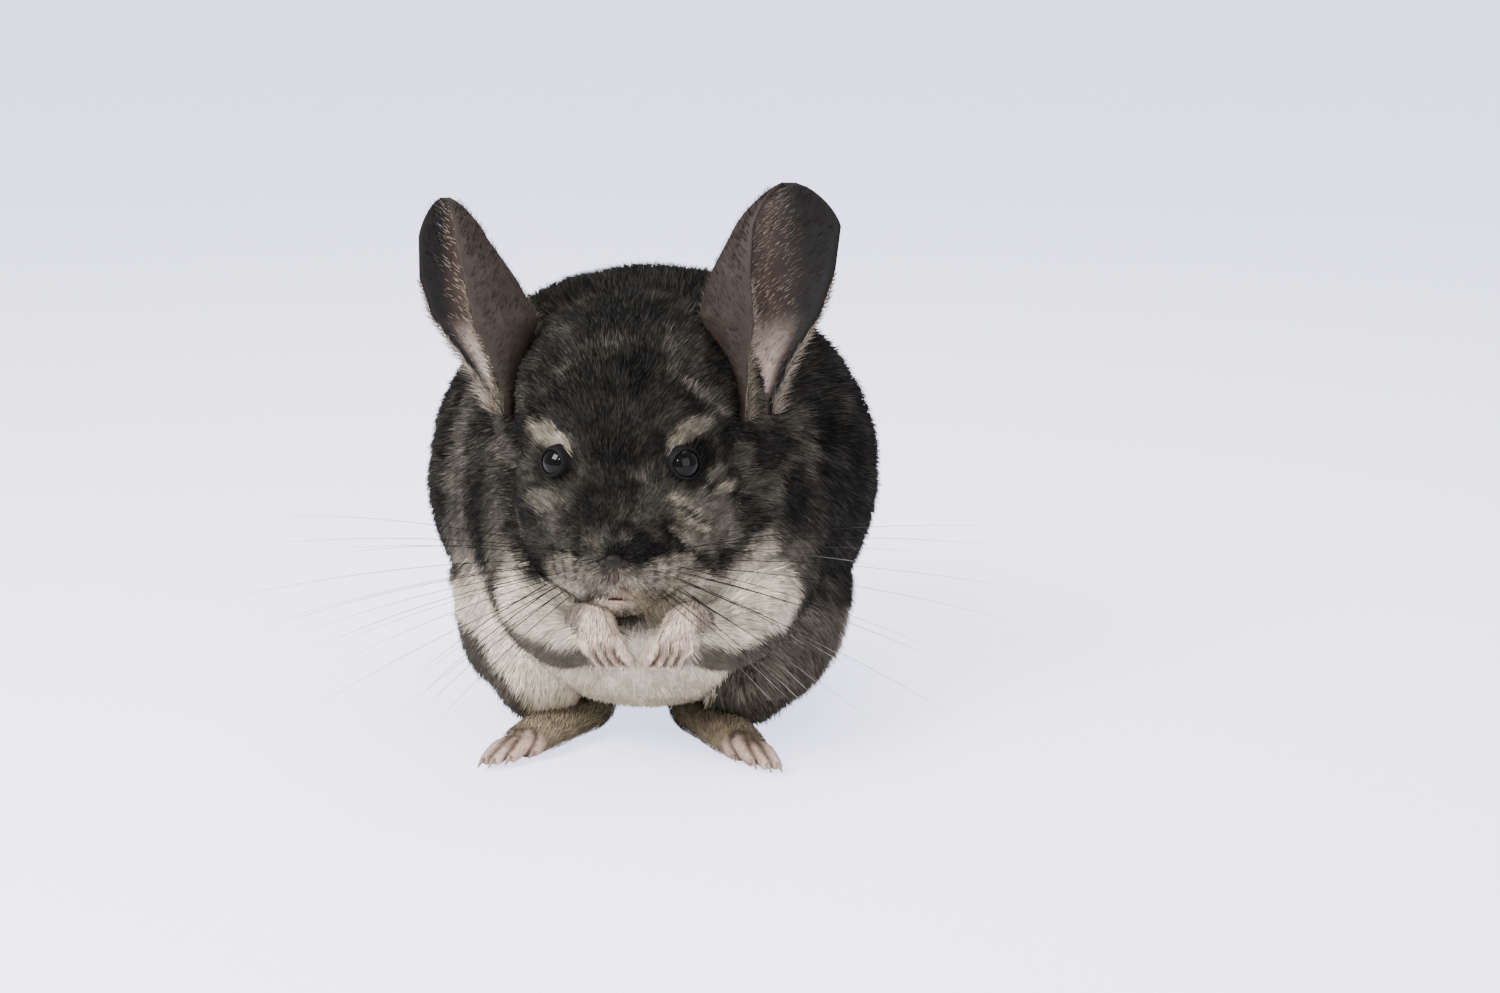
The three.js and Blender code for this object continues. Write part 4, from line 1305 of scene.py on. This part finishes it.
def buildWhiskers():
    t = np.linspace(0, 1, 10)[:, None]
    lines = []
    for root, (s, row, n) in zip(whiskerRoots, whiskerPlaces):
        root = root - unit(root - headMiddle) * whisker["sink"]
        longest = row == 1 and n == 1
        share = 1 if longest else mix(0.66, 0.98, draw.random()) * (0.6 if row > 3 else 1)
        length = whisker["length"] * share
        rise = math.radians(mix(9, -36, row / 5) + (draw.random() - 0.5) * 8)
        sweep = math.radians(-2 if longest else mix(-20, 14, n / 2) + (draw.random() - 0.5) * 12)
        way = [s * math.cos(rise) * math.cos(sweep), math.sin(sweep) * math.cos(rise), math.sin(rise)]
        line = root + np.array(way) * length * t + np.array([0, 0.08, -whisker["sag"]]) * length * t ** 2
        line[:, 2] = np.maximum(line[:, 2], 1.5)
        lines.append(line)
    lines = np.array(lines)
    shade = np.interp(t, [0, 0.45, 0.7, 1], [0.004, 0.008, 0.06, 0.5])
    colours = np.tile(shade * np.array((1.0, 0.98, 0.95)), (len(lines), 1, 1))
    widths = np.tile(np.linspace(whisker["rootWidth"], whisker["tipWidth"], 8), (len(lines), 1))
    sideways = unit(np.cross(unit(lines[:, -1] - lines[:, 0]), (0, 0.3, 1.0)))
    uv = np.stack([np.linspace(0.04, 0.96, len(lines)), np.full(len(lines), 0.5)], -1)
    finish(strandMesh("whiskers", lines, widths, sideways, colours, uv), "coat", "coat_face")


buildWhiskers()
print("nose and whiskers made")


# Tail brush

brush = {
    "count": 6500, "quickCount": 2000, "width": 0.4, "length": (14, 34), "lowest": 0.5, "rearmost": 237,
}


def buildTailBrush():
    count = howMany(brush)
    t = draw.random(count) ** 0.8
    middle = runPoints(tail["line"], t)
    ahead = unit(runPoints(tail["line"], np.minimum(t + 0.02, 1)) - runPoints(tail["line"], t - 0.02))
    angle = draw.random(count) * 2 * math.pi
    across = unit(np.cross(ahead, (0, 0, 1.0)))
    over = np.cross(across, ahead)
    out = across * np.cos(angle)[:, None] + over * np.sin(angle)[:, None]
    root = middle + out * readAlong(tail["radius"], t)[:, None] * 0.8
    length = mix(*brush["length"], smooth(t / 0.5)) * vary(0.7, 1.0, count)
    spread = mix(0.55, 0.32, t) * vary(0.7, 1.2, count)
    way = unit(ahead + out * spread[:, None] + jitter(count) * 0.2)
    s = np.linspace(0, 1, 5)[None, :, None]
    lines = root[:, None] + way[:, None] * (length[:, None, None] * s) + np.array([0, 0, -3.0]) * s ** 2
    lines[:, :, 2] = np.maximum(lines[:, :, 2], brush["lowest"])
    lines[:, :, 1] = np.minimum(lines[:, :, 1], brush["rearmost"])
    tone = blendRows((0.035, 0.033, 0.033), (0.20, 0.175, 0.145), smooth((0.3 - out[:, 2]) / 1.2) * 0.6)
    tone = tone * vary(0.5, 1.5, count)[:, None]
    tip = blendRows(tone, (0.30, 0.27, 0.23), (draw.random(count) > 0.7) * 0.5)
    colours = np.stack([tone * 0.6, tone * 0.8, tone, tone, tip], 1)
    widths = brush["width"] * np.array([1.0, 1.0, 0.65])[None] * vary(0.7, 1.2, count)[:, None]
    uv = np.stack([t, angle / 2 / math.pi], -1) * 0.96 + 0.02
    made = strandMesh("tail_brush", lines, widths, unit(np.cross(way, out)), colours, uv)
    finish(made, "coat", "coat_tail", "tail_tip")


buildTailBrush()
print("tail brush made")


# Floor, backdrop and light

stage = {
    "floor": (0.84, 0.83, 0.88), "glow": (0.79, 0.81, 1.08), "glowStrength": 2.0,
    "world": (0.88, 0.87, 0.98), "worldStrength": 0.66, "lit": (0, 20, 70),
}
lamps = [  # place, size in metres, power in watts
    ("keyLight", (-460, -420, 640), 0.4, 15),
    ("fillLight", (560, -560, 380), 0.7, 5),
    ("topLight", (60, 260, 760), 0.6, 5),
    ("glintLight", (-120, -620, 520), 0.07, 1.2),
]


def glowForCamera(tree, socket, add):  # the camera sees it brighter than the light that it gives
    seen = tree.nodes.new("ShaderNodeLightPath")
    level = tree.nodes.new("ShaderNodeMath")
    level.operation = "MULTIPLY_ADD"
    level.inputs[1].default_value = stage["glowStrength"]
    level.inputs[2].default_value = add
    tree.links.new(seen.outputs["Is Camera Ray"], level.inputs[0])
    tree.links.new(level.outputs[0], socket)


def buildStage():
    bpy.ops.object.select_all(action="DESELECT")
    bpy.ops.mesh.primitive_plane_add(size=8, location=(0, 0, 0))
    floor = bpy.context.object
    floor.name = "floor"
    material = bpy.data.materials.new("floorPale")
    material.use_nodes = True
    shader = material.node_tree.nodes["Principled BSDF"]
    shader.inputs["Base Color"].default_value = (*stage["floor"], 1)
    shader.inputs["Roughness"].default_value = 0.7
    shader.inputs["Emission Color"].default_value = (*stage["glow"], 1)
    glowForCamera(material.node_tree, shader.inputs["Emission Strength"], 0)
    floor.data.materials.append(material)
    world = bpy.data.worlds.new("world")
    bpy.context.scene.world = world
    world.use_nodes = True
    background = world.node_tree.nodes["Background"]
    background.inputs["Color"].default_value = (*stage["world"], 1)
    glowForCamera(world.node_tree, background.inputs["Strength"], stage["worldStrength"])
    for name, place, size, power in lamps:
        bpy.ops.object.light_add(type="AREA", location=toFrame(place))
        light = bpy.context.object
        light.name = name
        light.data.size = size
        light.data.energy = power
        toAnimal = Vector(np.array(stage["lit"]) - place)
        light.rotation_euler = toAnimal.to_track_quat("-Z", "Y").to_euler()


buildStage()
print("stage made")
